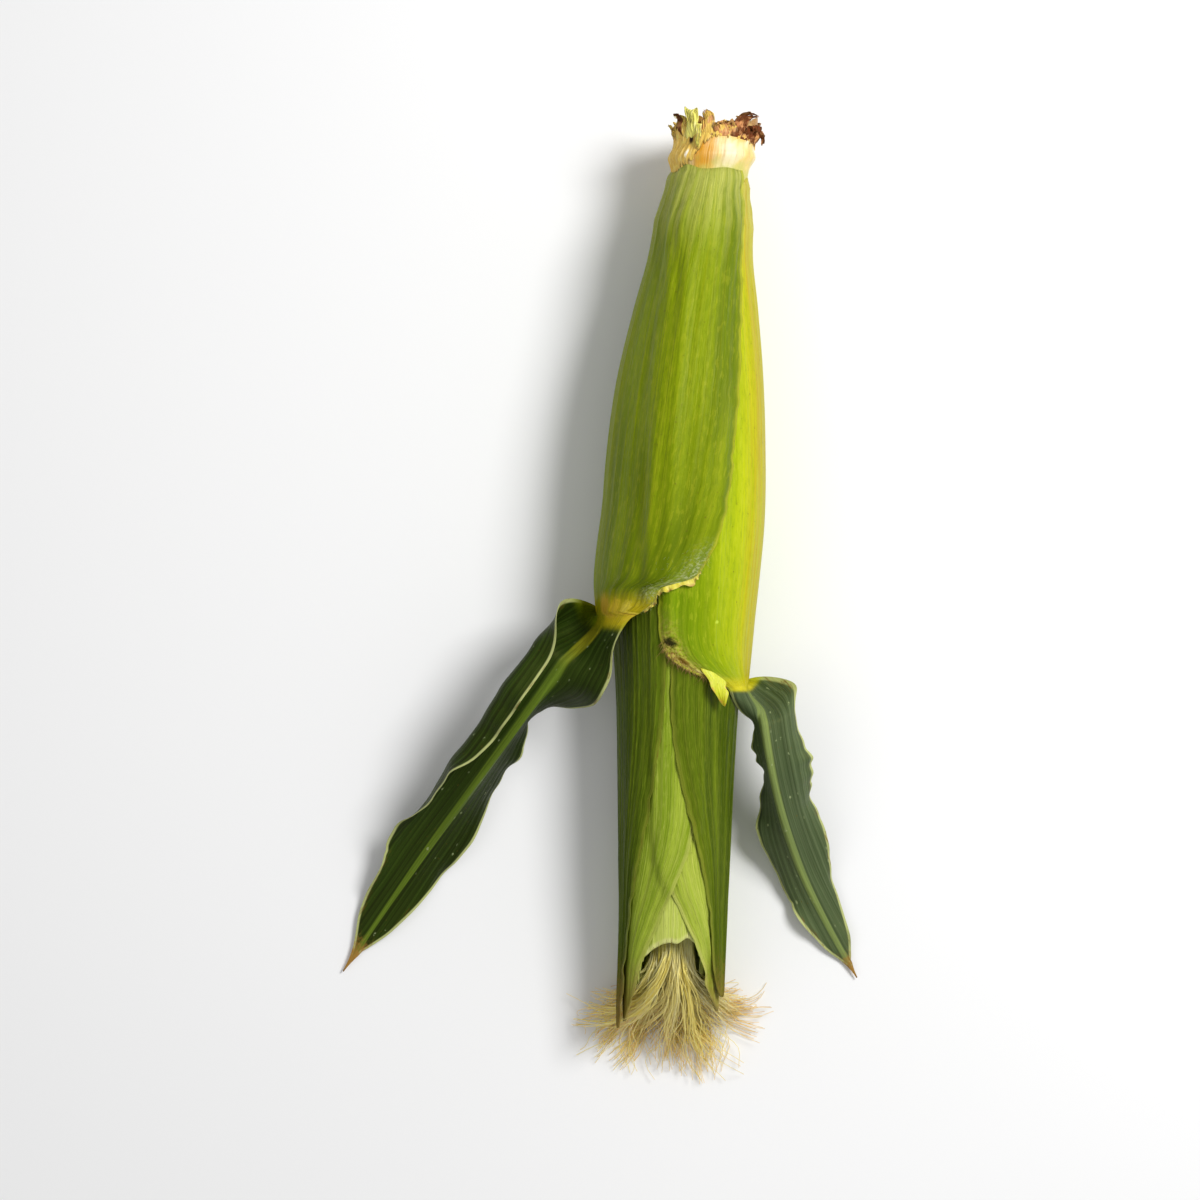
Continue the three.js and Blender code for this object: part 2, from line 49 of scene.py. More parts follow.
SHANK_RADIUS = 12.4
BODY_RADIUS = 21.8
BUNDLE_START, BUNDLE_END = 44, 272
THICKNESS = 0.62
GAP = 0.42
PITCH = THICKNESS + 0.24 + GAP
FLAT_REACH = 60
CENTRE_ALONG = 150.2
CENTRE_ACROSS = -24.5
SPREAD_RADIUS = 23  # A leaf's pattern is laid out as if the leaf were flattened from this radius.
HUSK_START = 46
MOUTH_INSIDE = 262
MOUTH_LEAF_START, MOUTH_LEAF_END = 244, 276
VEIN_SPACING, RIDGE_SPACING = 1.9, 2.4
SILK_ROOT = 245.0

BODY_PROFILE = [
    (-6, SHANK_RADIUS + 0.4), (8, SHANK_RADIUS), (24, SHANK_RADIUS - 0.7), (42, SHANK_RADIUS),
    (60, 0.72 * BODY_RADIUS), (82, 0.88 * BODY_RADIUS), (104, 0.97 * BODY_RADIUS), (124, BODY_RADIUS),
    (142, 0.96 * BODY_RADIUS), (160, 0.86 * BODY_RADIUS), (178, 0.78 * BODY_RADIUS),
    (205, 0.72 * BODY_RADIUS), (240, 0.67 * BODY_RADIUS), (BUNDLE_END, 0.6 * BODY_RADIUS),
    (300, 0.5 * BODY_RADIUS),
]
AXIS_HEIGHTS = [
    (-10, 27.2), (40, 26.6), (80, 25.7), (104, 25), (124, 24.3), (142, 23.4), (160, 22.5), (180, 21.6),
    (210, 20.3), (250, 18.9), (300, 17.2),
]

# From the innermost leaf to the outermost. A long leaf runs from start to "to" and narrows past taper.
LONG_LEAVES = [
    dict(zip(("name", "centre", "wrap", "start", "to", "taper", "tip"), row))
    for row in [
        ("husk_leaf_1", 92, 112, 36, 279, 0.76, 0.32),
        ("husk_leaf_2", -86, 108, 33, 282, 0.72, 0.28),
        ("husk_leaf_3", 74, 82, 30, 274, 0.6, 0.2),
        ("husk_leaf_4", -82, 70, 27, 284, 0.56, 0.18),
        ("husk_leaf_5", 178, 58, 24, 277, 0.6, 0.22),
    ]
]
# before and after are how far a sheath reaches round from its centre, as (along, degrees), and its midrib
# runs through (x, along, z). The other lists are (share of the blade's length, value). The blade rolls by
# turn about its midrib. Each half rises from it at the angle rise and bends by roll towards its margin,
# which has left the ear at the share leaves and is drawn back by sweep at its foot. collar is how far the
# collar reaches before and past the ligule, and collar_from the u from which it shows on the blade.
FLAG_LEAVES = [
    dict(
        name="flag_leaf_right", centre=84, start=20, ligule=177, flare=1.2, collar=(4, 2.2), collar_from=-1.2,
        before=[(20, 128), (60, 116), (110, 106), (150, 102), (164, 99), (171, 82), (177, 44)],
        after=[(20, 74), (60, 66), (120, 60), (160, 52), (177, 42)],
        midrib=[
            (25, 177, 28), (26, 189, 30.5), (28.6, 204, 28.4), (33, 220, 20), (39.5, 237, 9.5),
            (48, 254, 2.9), (57, 270, 1),
        ],
        turn=[(0, 40), (0.1, 12), (0.3, 4), (0.6, 0), (1, 0)],
        halves=[
            dict(
                width=[(0, 8), (0.12, 8), (0.25, 10), (0.4, 11.5), (0.6, 10.5), (0.8, 6.5), (1, 0.8)],
                rise=[(0, -10), (0.08, -50), (0.2, -78), (0.38, -78), (0.55, -48), (0.8, -12), (1, 0)],
                roll=[(0, 0), (1, 0)], leaves=0.16, sweep=0,
            ),
            dict(
                width=[
                    (0, 8), (0.03, 10.5), (0.08, 12), (0.18, 13), (0.3, 14), (0.45, 13.8), (0.62, 11.5),
                    (0.8, 7), (1, 0.8),
                ],
                rise=[(0, 10), (0.12, 2), (0.4, -14), (0.6, -18), (0.8, -8), (1, 0)],
                roll=[(0, -30), (0.2, -34), (0.5, -18), (1, 0)], leaves=0.11, sweep=9,
            ),
        ],
    ),
    dict(
        name="flag_leaf_left", centre=-78, start=17, ligule=155, flare=3.2, collar=(9, 5.5),
        collar_from=-0.08,
        before=[(17, 88), (60, 78), (110, 70), (140, 58), (155, 44)],
        after=[
            (17, 134), (60, 122), (100, 113), (124, 105), (138, 94), (144, 84), (147, 64), (152, 57),
            (155, 44),
        ],
        midrib=[
            (-27, 155, 31), (-36, 170, 35), (-48, 187, 33), (-62, 206, 22), (-77, 226, 9.5), (-91, 246, 3),
            (-106, 268, 1),
        ],
        turn=[(0, -40), (0.12, -18), (0.3, -8), (0.5, -3), (0.7, 0), (1, 0)],
        halves=[
            dict(
                width=[
                    (0, 15), (0.08, 19), (0.18, 22), (0.36, 22), (0.55, 17.5), (0.75, 11), (0.88, 6.5),
                    (1, 0.8),
                ],
                rise=[(0, 14), (0.15, 6), (0.4, 2), (0.7, 4), (1, 0)],
                roll=[
                    (0, 80), (0.08, 120), (0.18, 168), (0.36, 176), (0.5, 130), (0.66, 60), (0.82, 16),
                    (1, 0),
                ],
                leaves=0.1, sweep=5.5,
            ),
            dict(
                width=[
                    (0, 12), (0.1, 15), (0.2, 15.5), (0.35, 13.5), (0.55, 12.5), (0.75, 9.5), (0.9, 5),
                    (1, 0.8),
                ],
                rise=[
                    (0, 8), (0.12, 6), (0.18, -4), (0.25, -62), (0.33, -84), (0.48, -70), (0.65, -34),
                    (0.82, -8), (1, 0),
                ],
                roll=[(0, 10), (0.12, 18), (0.2, 6), (0.3, 0), (1, 0)], leaves=0.12, sweep=0,
            ),
        ],
    ),
]
LEAVES = LONG_LEAVES + FLAG_LEAVES
RIGHT_FLAG, LEFT_FLAG = FLAG_LEAVES
for count, each in enumerate(LEAVES):
    each["level"] = count

# --- small maths ---

rad = np.deg2rad


def smooth(a, b, x):
    t = np.clip((np.asarray(x, float) - a) / (b - a), 0, 1)
    return t * t * (3 - 2 * t)


def mix(a, b, t):
    return a + (b - a) * t


def turned(angle):
    return angle - 360 * np.round(angle / 360)


def through(knots, x):
    """A smooth line through (x, value) knots: a cubic with the slopes of its neighbours."""
    kx, ky = np.array(knots, float).T
    slope = np.gradient(ky) / np.gradient(kx)
    slope[1:-1] = (ky[2:] - ky[:-2]) / (kx[2:] - kx[:-2])
    x = np.clip(x, kx[0], kx[-1])
    i = np.clip(np.searchsorted(kx, x, "right") - 1, 0, len(kx) - 2)
    h = kx[i + 1] - kx[i]
    t = (x - kx[i]) / h
    start = (1 + 2 * t) * (1 - t) ** 2 * ky[i] + t * (1 - t) ** 2 * h * slope[i]
    return start + t * t * (3 - 2 * t) * ky[i + 1] + t * t * (t - 1) * h * slope[i + 1]


def unit(v):
    return v / np.maximum(np.linalg.norm(v, axis=-1, keepdims=True), 1e-9)


def ripple(x, seed, low=3.0, high=12.0):
    """A sum of sines with random lengths: about -1 to 1, the same on every run."""
    rng = np.random.default_rng(seed)
    waves = [np.sin(x * rng.uniform(low, high) + rng.uniform(0, 6.3)) for _ in range(7)]
    return sum(waves) / math.sqrt(len(waves))


def lengthwise(first, last, count):
    """Values for the rows of a grid."""
    return np.linspace(first, last, count)[:, None]


def crosswise(first, last, count):
    """Values for the columns of a grid."""
    return np.linspace(first, last, count)[None, :]


def whole_turn(columns):
    return np.linspace(0, 360, columns, endpoint=False)[None, :]


def closer_at_ends(count):
    """count values from -1 to 1, closer together near both ends."""
    share = 0.85
    s = np.linspace(-1, 1, count) * share * math.pi / 2
    return np.sin(s) / math.sin(share * math.pi / 2)


# --- the axis and the layers ---


def axis_across(along):
    return 9.5 * np.exp(-along / 60) - 0.02 * (along - 150)


def axis_up(along):
    return through(AXIS_HEIGHTS, along)


def ring(along, angle, radius):
    """Ear coordinates as (x, along, z) in millimetres, before they are put in the frame."""
    along, angle, radius = np.broadcast_arrays(np.asarray(along, float), angle, radius)
    a = rad(angle)
    return np.stack([axis_across(along) + radius * np.sin(a), along, axis_up(along) + radius * np.cos(a)], -1)


def framed(p):
    """(x, along, z) in millimetres as the frame's x, y, z in metres."""
    return np.stack([p[..., 0] - CENTRE_ACROSS, CENTRE_ALONG - p[..., 1], p[..., 2]], -1) / 1000


def reach(leaf, along):
    if "wrap" in leaf:
        v = (along - leaf["start"]) / (leaf["to"] - leaf["start"])
        narrow = leaf["wrap"] * (1 - (1 - leaf["tip"]) * smooth(leaf["taper"], 1, v) ** 1.15)
        side = narrow + 14 * smooth(0.12, 0, v)
        return side, side
    return through(leaf["before"], along), through(leaf["after"], along)


def leaf_end(leaf):
    return leaf.get("to", leaf.get("ligule"))


def cover(leaf, along, angle):
    """1 where a leaf lies, falling smoothly to 0 a few millimetres past its margin."""
    within = np.clip(along, leaf["start"], leaf_end(leaf))
    before, after = reach(leaf, within)
    side = turned(angle - leaf["centre"])
    past_margin = np.abs(side) - np.where(side < 0, before, after)
    past_end = np.abs(along - within)
    return (1 - smooth(1.2, 11, past_margin)) * (1 - smooth(0.4, 7, past_end))


def stack_height(level, along, angle):
    bare = np.zeros_like(angle + along, float)
    return sum((PITCH * cover(leaf, along, angle) for leaf in LEAVES[:level]), bare)


def body_shape(along, angle):
    swell = smooth(BUNDLE_START, 90, along)
    flutes = 0.32 * np.cos(5 * rad(angle) + along / 60) + 0.2 * np.cos(8 * rad(angle) - along / 45)
    return through(BODY_PROFILE, along) + swell * flutes


def tip_lift(level, along):
    return (0.9 + 0.6 * level) * smooth(240, 292, along)


def base_radius(along, angle):
    base = body_shape(along, angle)
    below = turned(angle - 180)
    top = len(LONG_LEAVES) - 1
    outermost = base + stack_height(top, along, angle) + GAP + THICKNESS + tip_lift(top, along)
    floor = axis_up(along) / np.cos(rad(np.clip(below, -FLAT_REACH, FLAT_REACH)))
    return base - np.where(np.abs(below) > FLAT_REACH, 0, np.maximum(0, outermost - floor))


def covered(leaf, along, angle):
    """How far the leaves outside this one hide a place: 1 is wholly."""
    bare = np.zeros_like(angle + along, float)
    return np.max([bare] + [cover(other, along, angle) for other in LEAVES[leaf["level"] + 1:]], axis=0)


def flare(leaf, along, angle):
    """The sheath of a flag leaf opens round the midrib where its blade begins."""
    near_midrib = smooth(78, 34, np.abs(turned(angle - leaf["centre"])))
    return leaf.get("flare", 0) * smooth(leaf_end(leaf) - 38, leaf_end(leaf) - 5, along) * near_midrib


def layer_radius(leaf, along, angle):
    """Where the inner face of a leaf lies."""
    stack = stack_height(leaf["level"], along, angle) + flare(leaf, along, angle)
    return base_radius(along, angle) + stack + GAP + tip_lift(leaf["level"], along)


# --- node graphs ---


def maths(operation, swapped=False):
    """A method of Wire that adds a Math node."""
    def method(self, *others):
        values = (*others, self) if swapped else (self, *others)
        return self.graph.add("ShaderNodeMath", *values, operation=operation)

    return method


class Wire:
    """One output of a node. Arithmetic on it adds Math nodes to the same graph."""

    def __init__(self, graph, socket):
        self.graph, self.socket = graph, socket

    __add__ = maths("ADD")
    __sub__, __rsub__ = maths("SUBTRACT"), maths("SUBTRACT", True)
    __mul__, __rmul__ = maths("MULTIPLY"), maths("MULTIPLY", True)
    __truediv__, __pow__ = maths("DIVIDE"), maths("POWER")
    abs, sin, cos = maths("ABSOLUTE"), maths("SINE"), maths("COSINE")
    floor, at_least = maths("FLOOR"), maths("MAXIMUM")

    def ramp(self, low, high, start=0.0, end=1.0):
        """Goes smoothly from start to end as this goes from low to high, and stays there."""
        values = (self, low, high, start, end)
        return self.graph.add("ShaderNodeMapRange", *values, interpolation_type="SMOOTHSTEP")


class Graph:
    """Builds one node tree."""

    def __init__(self, tree):
        self.tree = tree

    def add(self, kind, *values, output=0, **named):
        """Makes a node and returns one of its outputs. Values go to its inputs, in order or by name.
        A name in small letters is one of its settings."""
        node = self.tree.nodes.new(kind)
        for key in [key for key in named if key.islower()]:
            setattr(node, key, named.pop(key))
        for key, value in [*enumerate(values), *((k.replace("_", " "), v) for k, v in named.items())]:
            self.put(node.inputs[key], value)
        return Wire(self, node.outputs[output])

    def put(self, socket, value):
        if isinstance(value, Wire):
            self.tree.links.new(value.socket, socket)
        elif value is not None:
            socket.default_value = value

    def vector(self, x, y, z):
        return self.add("ShaderNodeCombineXYZ", x, y, z)

    def vmath(self, operation, *values, **named):
        return self.add("ShaderNodeVectorMath", *values, operation=operation, **named)

    def scaled(self, vector, factor):
        return self.vmath("SCALE", vector, Scale=factor)

    def blend(self, factor, a, b):
        """Colour a where factor is 0, colour b where it is 1."""
        node = self.tree.nodes.new("ShaderNodeMix")
        node.data_type = "RGBA"
        for socket, value in ((node.inputs[0], factor), (node.inputs[6], a), (node.inputs[7], b)):
            self.put(socket, value)
        return Wire(self, node.outputs[2])

    def coats(self, colour, *coats):
        """The colour with coats laid over it one after another, each as (mask, colour)."""
        for mask, tone in coats:
            colour = self.blend(mask, colour, tone)
        return colour

    def attributes(self, *names):
        return [self.add("ShaderNodeAttribute", attribute_name=name, output="Fac") for name in names]

    def noise(self, x, y, z, detail=2.0, rough=0.5):
        """Spread over about 0 to 1."""
        place = self.vector(x, y, z)
        raw = self.add("ShaderNodeTexNoise", Vector=place, Scale=1.0, Detail=detail, Roughness=rough)
        return raw.ramp(0.28, 0.72)

    def cells(self, x, y, z):
        """Distance from the nearest of a set of scattered points."""
        return self.add("ShaderNodeTexVoronoi", feature="F1", Vector=self.vector(x, y, z), Scale=1.0)


def rgb(red, green, blue):
    """A screen colour, 0 to 255, as the linear colour that shaders take."""
    def linear(c):
        c /= 255
        return c / 12.92 if c <= 0.04045 else ((c + 0.055) / 1.055) ** 2.4
    return (linear(red), linear(green), linear(blue), 1.0)


def new_material(name, **constants):
    """A material with one Principled shader. Returns it, its graph and the shader's inputs."""
    material = bpy.data.materials.new(name)
    material.use_nodes = True
    shader = material.node_tree.nodes["Principled BSDF"]
    for key, value in constants.items():
        shader.inputs[key.replace("_", " ")].default_value = value
    return material, Graph(material.node_tree), shader.inputs


def dress(g, shader, colour, height=None, strength=0.5, distance=0.0002):
    """Gives a shader its colour and its relief, distance metres deep."""
    g.put(shader["Base Color"], colour)
    if height is not None:
        relief = g.add("ShaderNodeBump", Strength=strength, Distance=distance, Height=height)
        g.put(shader["Normal"], relief)


# --- materials ---


def leaf_material(name, seed, dark, light, streak, margin, foot, foot_to=60, keel=None, painted_light_band=None,
                  dry=0.0, blade=None, spots=(), stripes=1.0):
    """A green leaf with veins along it. Reads the mesh's attributes across, along and edge (all in
    millimetres) and blade, collar, down, tip and deep (0 to 1). deep is painted shade, darkest inside the
    mouth of the husk."""
    material, g, shader = new_material(
        name, Roughness=0.5, Specular_IOR_Level=0.22, Specular_Tint=(0.95, 0.9, 0.3, 1),
    )
    across, along, edge, deep = g.attributes("across", "along", "edge", "deep")

    def pattern(over, on, shift, detail, rough=0.5):
        return g.noise(across * over, along * on, seed + shift, detail, rough)

    broad = pattern(0.12, 0.008, 0, 2.0)
    bands = pattern(0.55, 0.006, 3.1, 4.0, 0.6)
    threads = pattern(2.4, 0.025, 5.7, 3.0, 0.7)
    dashes = pattern(2.2, 0.28, 7.3, 3.0, 0.6)
    grain = pattern(1.6, 0.9, 9.2, 4.0, 0.7)
    phase = across * (2 * math.pi / VEIN_SPACING) + bands * 3.0
    veins = (phase.sin() * 0.5 + 0.5) ** 4.0 * threads.ramp(0.1, 0.8, 0.4, 1.0)
    between = ((phase * 3.0 + threads * 2.0).sin() * 0.5 + 0.5) ** 2.0

    colour = g.blend(broad.ramp(0.2, 0.8), dark, light)
    # Painted highlight: a lighter band across the leaf where the light falls on it.
    if painted_light_band:
        low, high, tone = painted_light_band
        colour = g.blend(across.ramp(low, high) * broad.ramp(0.0, 0.8, 0.55, 0.95), colour, tone)
    colour = g.coats(
        colour,
        ((along + bands * 16.0).ramp(foot_to, foot_to - 34) * 0.72, foot),
        (bands.ramp(0.45, 0.75) * 0.5 * stripes, streak),
        (bands.ramp(0.45, 0.25) * 0.4 * stripes, dark),
        (threads.ramp(0.55, 0.8) * 0.35 * stripes, light),
        (threads.ramp(0.45, 0.2) * 0.4 * stripes, dark),
        (between * 0.12, light),
        (veins * 0.24 * stripes, margin),
        (dashes.ramp(0.6, 0.9) * 0.26, dark),
        (dashes.ramp(0.3, 0.1) * 0.22, margin),
    )
    if keel:
        far, near, tone = keel
        colour = g.blend(across.abs().ramp(far, near) * threads.ramp(0.1, 0.9, 0.3, 0.75), colour, tone)
    if blade:
        is_blade, collar, down, tip = g.attributes("blade", "collar", "down", "tip")
        rib_width = along.ramp(190, 295, 1.0, 0.4) * along.ramp(158, 178, 2.3, 1.0)
        rib = (across.abs() / rib_width).ramp(2.0, 1.3)
        fleck = g.cells(across * 0.33, along * 0.2, seed)
        dots = pattern(1.3, 1.3, 11.0, 3.0, 0.7)
        web = g.coats(
            g.blend(bands, blade["dark"], blade["light"]),
            (veins * 0.45, blade["vein"]),
            (between * 0.16, blade["vein"]),
            (threads.ramp(0.5, 0.9) * 0.35, blade["dark"]),
            (rib * threads.ramp(0.0, 1.0, 0.6, 1.0),
             g.blend(along.ramp(184, 160) * 0.5, blade["rib"], blade["collar"])),
            (fleck.ramp(0.15, 0.06) * grain.ramp(0.4, 0.7) * 0.7, blade["fleck"]),
            (edge.ramp(0.95, 0.5) * 0.9, blade["edge"]),
            ((tip + grain * 0.35).ramp(0.35, 1.0), rgb(150, 112, 52)),
        )
        colour = g.coats(
            colour,
            (is_blade, web),
            (collar * (1 - rib * 0.5) * grain.ramp(0.0, 1.0, 0.75, 1.0), blade["collar"]),
            (down * grain.ramp(0.3, 0.7, 0.2, 0.85), blade["down"]),
            (down * dots.ramp(0.55, 0.75) * 0.9, blade["dots"]),
        )
        margin_on = edge.ramp(1.5, 0.3) * (1 - is_blade)
    else:
        margin_on = edge.ramp(1.7, 0.3)
    colour = g.coats(
        colour,
        (margin_on * bands.ramp(0.1, 0.9, 0.5, 0.95), margin),
        (dashes.ramp(0.6, 0.9) * edge.ramp(2.4, 0.1) * bands.ramp(0.45, 0.8) * 0.8, rgb(112, 74, 28)),
        (grain.ramp(0.86, 1.0) * dashes.ramp(0.5, 0.8) * 0.7, rgb(96, 76, 24)),
    )
    if dry:
        colour = g.blend((along + grain * 16.0).ramp(266, 288) * dry, colour, rgb(150, 118, 58))
    # Painted shade: darkens the leaf where the husk turns in to its mouth.
    colour = g.blend(deep * 0.9, colour, rgb(46, 44, 12))
    for at_across, at_along, size, ink in spots:
        away = ((across - at_across) ** 2.0 + ((along - at_along) * 0.8) ** 2.0) ** 0.5
        colour = g.blend((away + grain * size * 0.4).ramp(size * 1.1, size * 0.5) * 0.95, colour, ink)
    g.put(shader["Roughness"], threads.ramp(0.0, 1.0, 0.40, 0.58))
    height = veins * 0.55 + between * 0.25 + threads * 0.5 + dashes * 0.25 + grain * 0.12
    dress(g, shader, colour, height, 0.4 + 0.3 * stripes, 0.00024)
    return material


def stalk_material():
    material, g, shader = new_material("shank", Roughness=0.42, Specular_IOR_Level=0.35)
    angle, along, end, face_x, face_z = g.attributes("across", "along", "end", "face_x", "face_z")
    fibre = g.noise(angle * 1.5, along * 0.05, 2.0, 4.0, 0.65)
    patch = g.noise(angle * 0.12, along * 0.08, 7.0)
    cloud = g.noise(angle * 0.3, along * 0.22, 4.0, 4.0)
    pith = g.noise(face_x * 0.9, face_z * 0.9, 1.0, 3.0)
    holes = g.cells(face_x * 0.75, face_z * 0.75, 1.0)
    face = g.coats(
        g.blend(pith, rgb(230, 206, 150), rgb(190, 150, 86)),
        (holes.ramp(0.2, 0.1) * 0.8, rgb(120, 82, 36)),
    )
    orange = angle.ramp(-7.5, -5.0) * angle.ramp(2.0, -1.5)
    scar = along.ramp(11.2, 12.2) * along.ramp(14.2, 13.2)
    colour = g.coats(
        g.blend(patch.ramp(0.2, 0.8), rgb(246, 230, 192), rgb(236, 208, 128)),
        (orange * fibre.ramp(0.0, 0.7, 0.65, 1.0), rgb(222, 154, 24)),
        (angle.ramp(-4.5, -7.5) * 0.85, rgb(204, 168, 96)),
        ((along + cloud * 3.0).ramp(11.5, 8.5) * 0.7, rgb(236, 190, 74)),
        (fibre.ramp(0.6, 0.9) * 0.35, rgb(190, 156, 84)),
        ((along + cloud * 4.0).ramp(15, 21) * 0.75, rgb(186, 188, 92)),
        (scar * fibre.ramp(0.25, 0.8) * 0.3, rgb(196, 150, 74)),
        ((along + cloud * 3.0).ramp(6.8, 4.0) * 0.85, rgb(146, 98, 40)),
        (end, face),
    )
    dress(g, shader, colour, fibre * 0.9 + cloud * 0.3 + pith * end * 1.5, distance=0.0003)
    return material


def rag_material():
    """Torn leaf tissue. The attribute tone is 0 where it is fresh, 0.4 straw, 0.65 pink and 1 brown. The
    attribute deep is painted shade in a slit of the cuff, and pale is a painted highlight below it.
    """
    material, g, shader = new_material("torn_sheath", Roughness=0.7, Specular_IOR_Level=0.25)
    across, along, edge, tone, deep, pale = g.attributes("across", "along", "edge", "tone", "deep", "pale")
    fibre = g.noise(across * 1.7, along * 0.18, 2.0, 4.0, 0.6)
    cloud = g.noise(across * 0.5, along * 0.4, 5.0, 4.0)
    own = tone + (cloud - 0.5) * 0.35
    scorch = edge.ramp(1.0, 0.1) * cloud.ramp(0.3, 0.7) * tone.ramp(0.0, 0.7, 0.4, 1.0)
    colour = g.coats(
        g.blend(own.ramp(0.05, 0.4), rgb(238, 232, 116), rgb(232, 192, 90)),
        (own.ramp(0.55, 0.7), rgb(216, 152, 96)),
        (own.ramp(0.72, 0.95), rgb(112, 54, 14)),
        (scorch * 0.8, rgb(84, 48, 18)),
        (fibre.ramp(0.58, 0.9) * (1 - tone) * 0.6, rgb(244, 230, 168)),
        (fibre.ramp(0.42, 0.1) * tone.ramp(0.3, 0.9, 0.16, 0.6), rgb(112, 76, 26)),
        # Painted shade in the slit of the cuff.
        (deep, rgb(52, 26, 8)),
        # Painted highlight: a white glint below the slit.
        (pale, rgb(248, 242, 226)),
    )
    dress(g, shader, colour, fibre + cloud * 0.6)
    return material


def silk_material():
    material, g, shader = new_material("silk", Roughness=0.36, Specular_IOR_Level=0.4)
    t, tone = g.attributes("strand_t", "strand_tone")
    colour = g.coats(
        g.blend(tone, rgb(250, 230, 104), rgb(255, 250, 200)),
        (t.ramp(0.45, 0.1) * 0.5, rgb(226, 232, 120)),
        ((t + tone * 0.4).ramp(0.92, 1.25) * 0.6, rgb(244, 184, 76)),
        ((t + tone * 0.4).ramp(1.24, 1.4) * 0.8, rgb(160, 96, 48)),
    )
    dress(g, shader, colour)
    return material


def skin_material(name, pale, deep, tip, roughness=0.5):
    """Thin bright skin, such as a ligule or a lobe, with fine veins and a darker ragged edge."""
    material, g, shader = new_material(name, Roughness=roughness)
    across, along, edge = g.attributes("across", "along", "edge")
    veins = g.noise(across * 1.8, along * 0.12, 3.0, 3.0)
    cloud = g.noise(across * 0.5, along * 0.5, 6.0, 3.0)
    ragged = edge.ramp(0.9, 0.1) * cloud.ramp(0.3, 0.8) * 0.8
    dress(g, shader, g.coats(g.blend(veins, pale, deep), (ragged, tip)), veins + cloud * 0.5, strength=0.6)
    return material


def hair_material(name, root, tip):
    material, g, shader = new_material(name, Roughness=0.6)
    dress(g, shader, g.blend(g.attributes("strand_t")[0], root, tip))
    return material


# --- meshes ---


def add_object(name, data):
    obj = bpy.data.objects.new(name, data)
    bpy.context.scene.collection.objects.link(obj)
    return obj


def new_mesh(name, points, faces, **attributes):
    """A mesh from lists of points and faces. Each attribute has a number or a vector for each point."""
    mesh = bpy.data.meshes.new(name)
    mesh.from_pydata(points.tolist(), [], faces)
    for key, values in attributes.items():
        kind, field = ("FLOAT_VECTOR", "vector") if np.shape(values) == points.shape else ("FLOAT", "value")
        layer = mesh.attributes.new(key, kind, "POINT")
        layer.data.foreach_set(field, np.asarray(values, np.float32).ravel())
    return mesh


def new_piece(name, points, faces, material, **attributes):
    mesh = new_mesh(name, points, faces, **attributes)
    mesh.shade_smooth()
    mesh.materials.append(material)
    return add_object(name, mesh)


def facing_out(points, faces):
    """The faces turned so that the closed mesh's volume counts as positive."""
    a, b, c, d = points[faces].swapaxes(0, 1)
    volume = (a * (np.cross(b, c) + np.cross(c, d))).sum()
    return faces[:, ::-1] if volume < 0 else faces


def quads_of(at):
    """Quads over a grid of vertex numbers."""
    return np.stack([at[:-1, :-1], at[:-1, 1:], at[1:, 1:], at[1:, :-1]], -1).reshape(-1, 4)


def sheet(name, inner, outer, material, **attributes):
    """A closed thin sheet from two grids of points, in (x, along, z) millimetres. An attribute is a
    number, or values that spread over the grid."""
    rows, columns = inner.shape[:2]
    points = framed(np.concatenate([inner.reshape(-1, 3), outer.reshape(-1, 3)]))
    n = rows * columns
    at = np.arange(n).reshape(rows, columns)
    quads = quads_of(at)
    loop = np.concatenate([at[0], at[1:, -1], at[-1, -2::-1], at[-2:0:-1, 0]])
    onward = np.roll(loop, -1)
    rim = np.stack([onward, loop, loop + n, onward + n], -1)
    faces = facing_out(points, np.concatenate([quads, quads[:, ::-1] + n, rim]))
    doubled = {k: np.tile(np.broadcast_to(v, (rows, columns)).ravel(), 2) for k, v in attributes.items()}
    return new_piece(name, points, faces.tolist(), material, **doubled)


def wrapped(name, rings, material, **attributes):
    """A closed body from rings of points, the first and last ring drawn together to a point."""
    rows, columns = rings.shape[:2]
    ends = np.stack([rings[0].mean(0), rings[-1].mean(0)])
    points = framed(np.concatenate([rings.reshape(-1, 3), ends]))
    n = rows * columns
    at = np.arange(n).reshape(rows, columns)
    on = np.roll(at, -1, 1)
    quads = np.stack([at[:-1], on[:-1], on[1:], at[1:]], -1).reshape(-1, 4)
    first = np.stack([np.full(columns, n), on[0], at[0]], -1)
    last = np.stack([np.full(columns, n + 1), at[-1], on[-1]], -1)
    caps = np.concatenate([first, last])
    faces = facing_out(points, quads)
    if (faces[0] != quads[0]).any():
        caps = caps[:, ::-1]
    full = {}
    for key, values in attributes.items():
        grid = np.broadcast_to(values, (rows, columns))
        full[key] = [*grid.ravel(), grid[0].mean(), grid[-1].mean()]
    return new_piece(name, points, faces.tolist() + caps.tolist(), material, **full)


# --- husk leaves ---


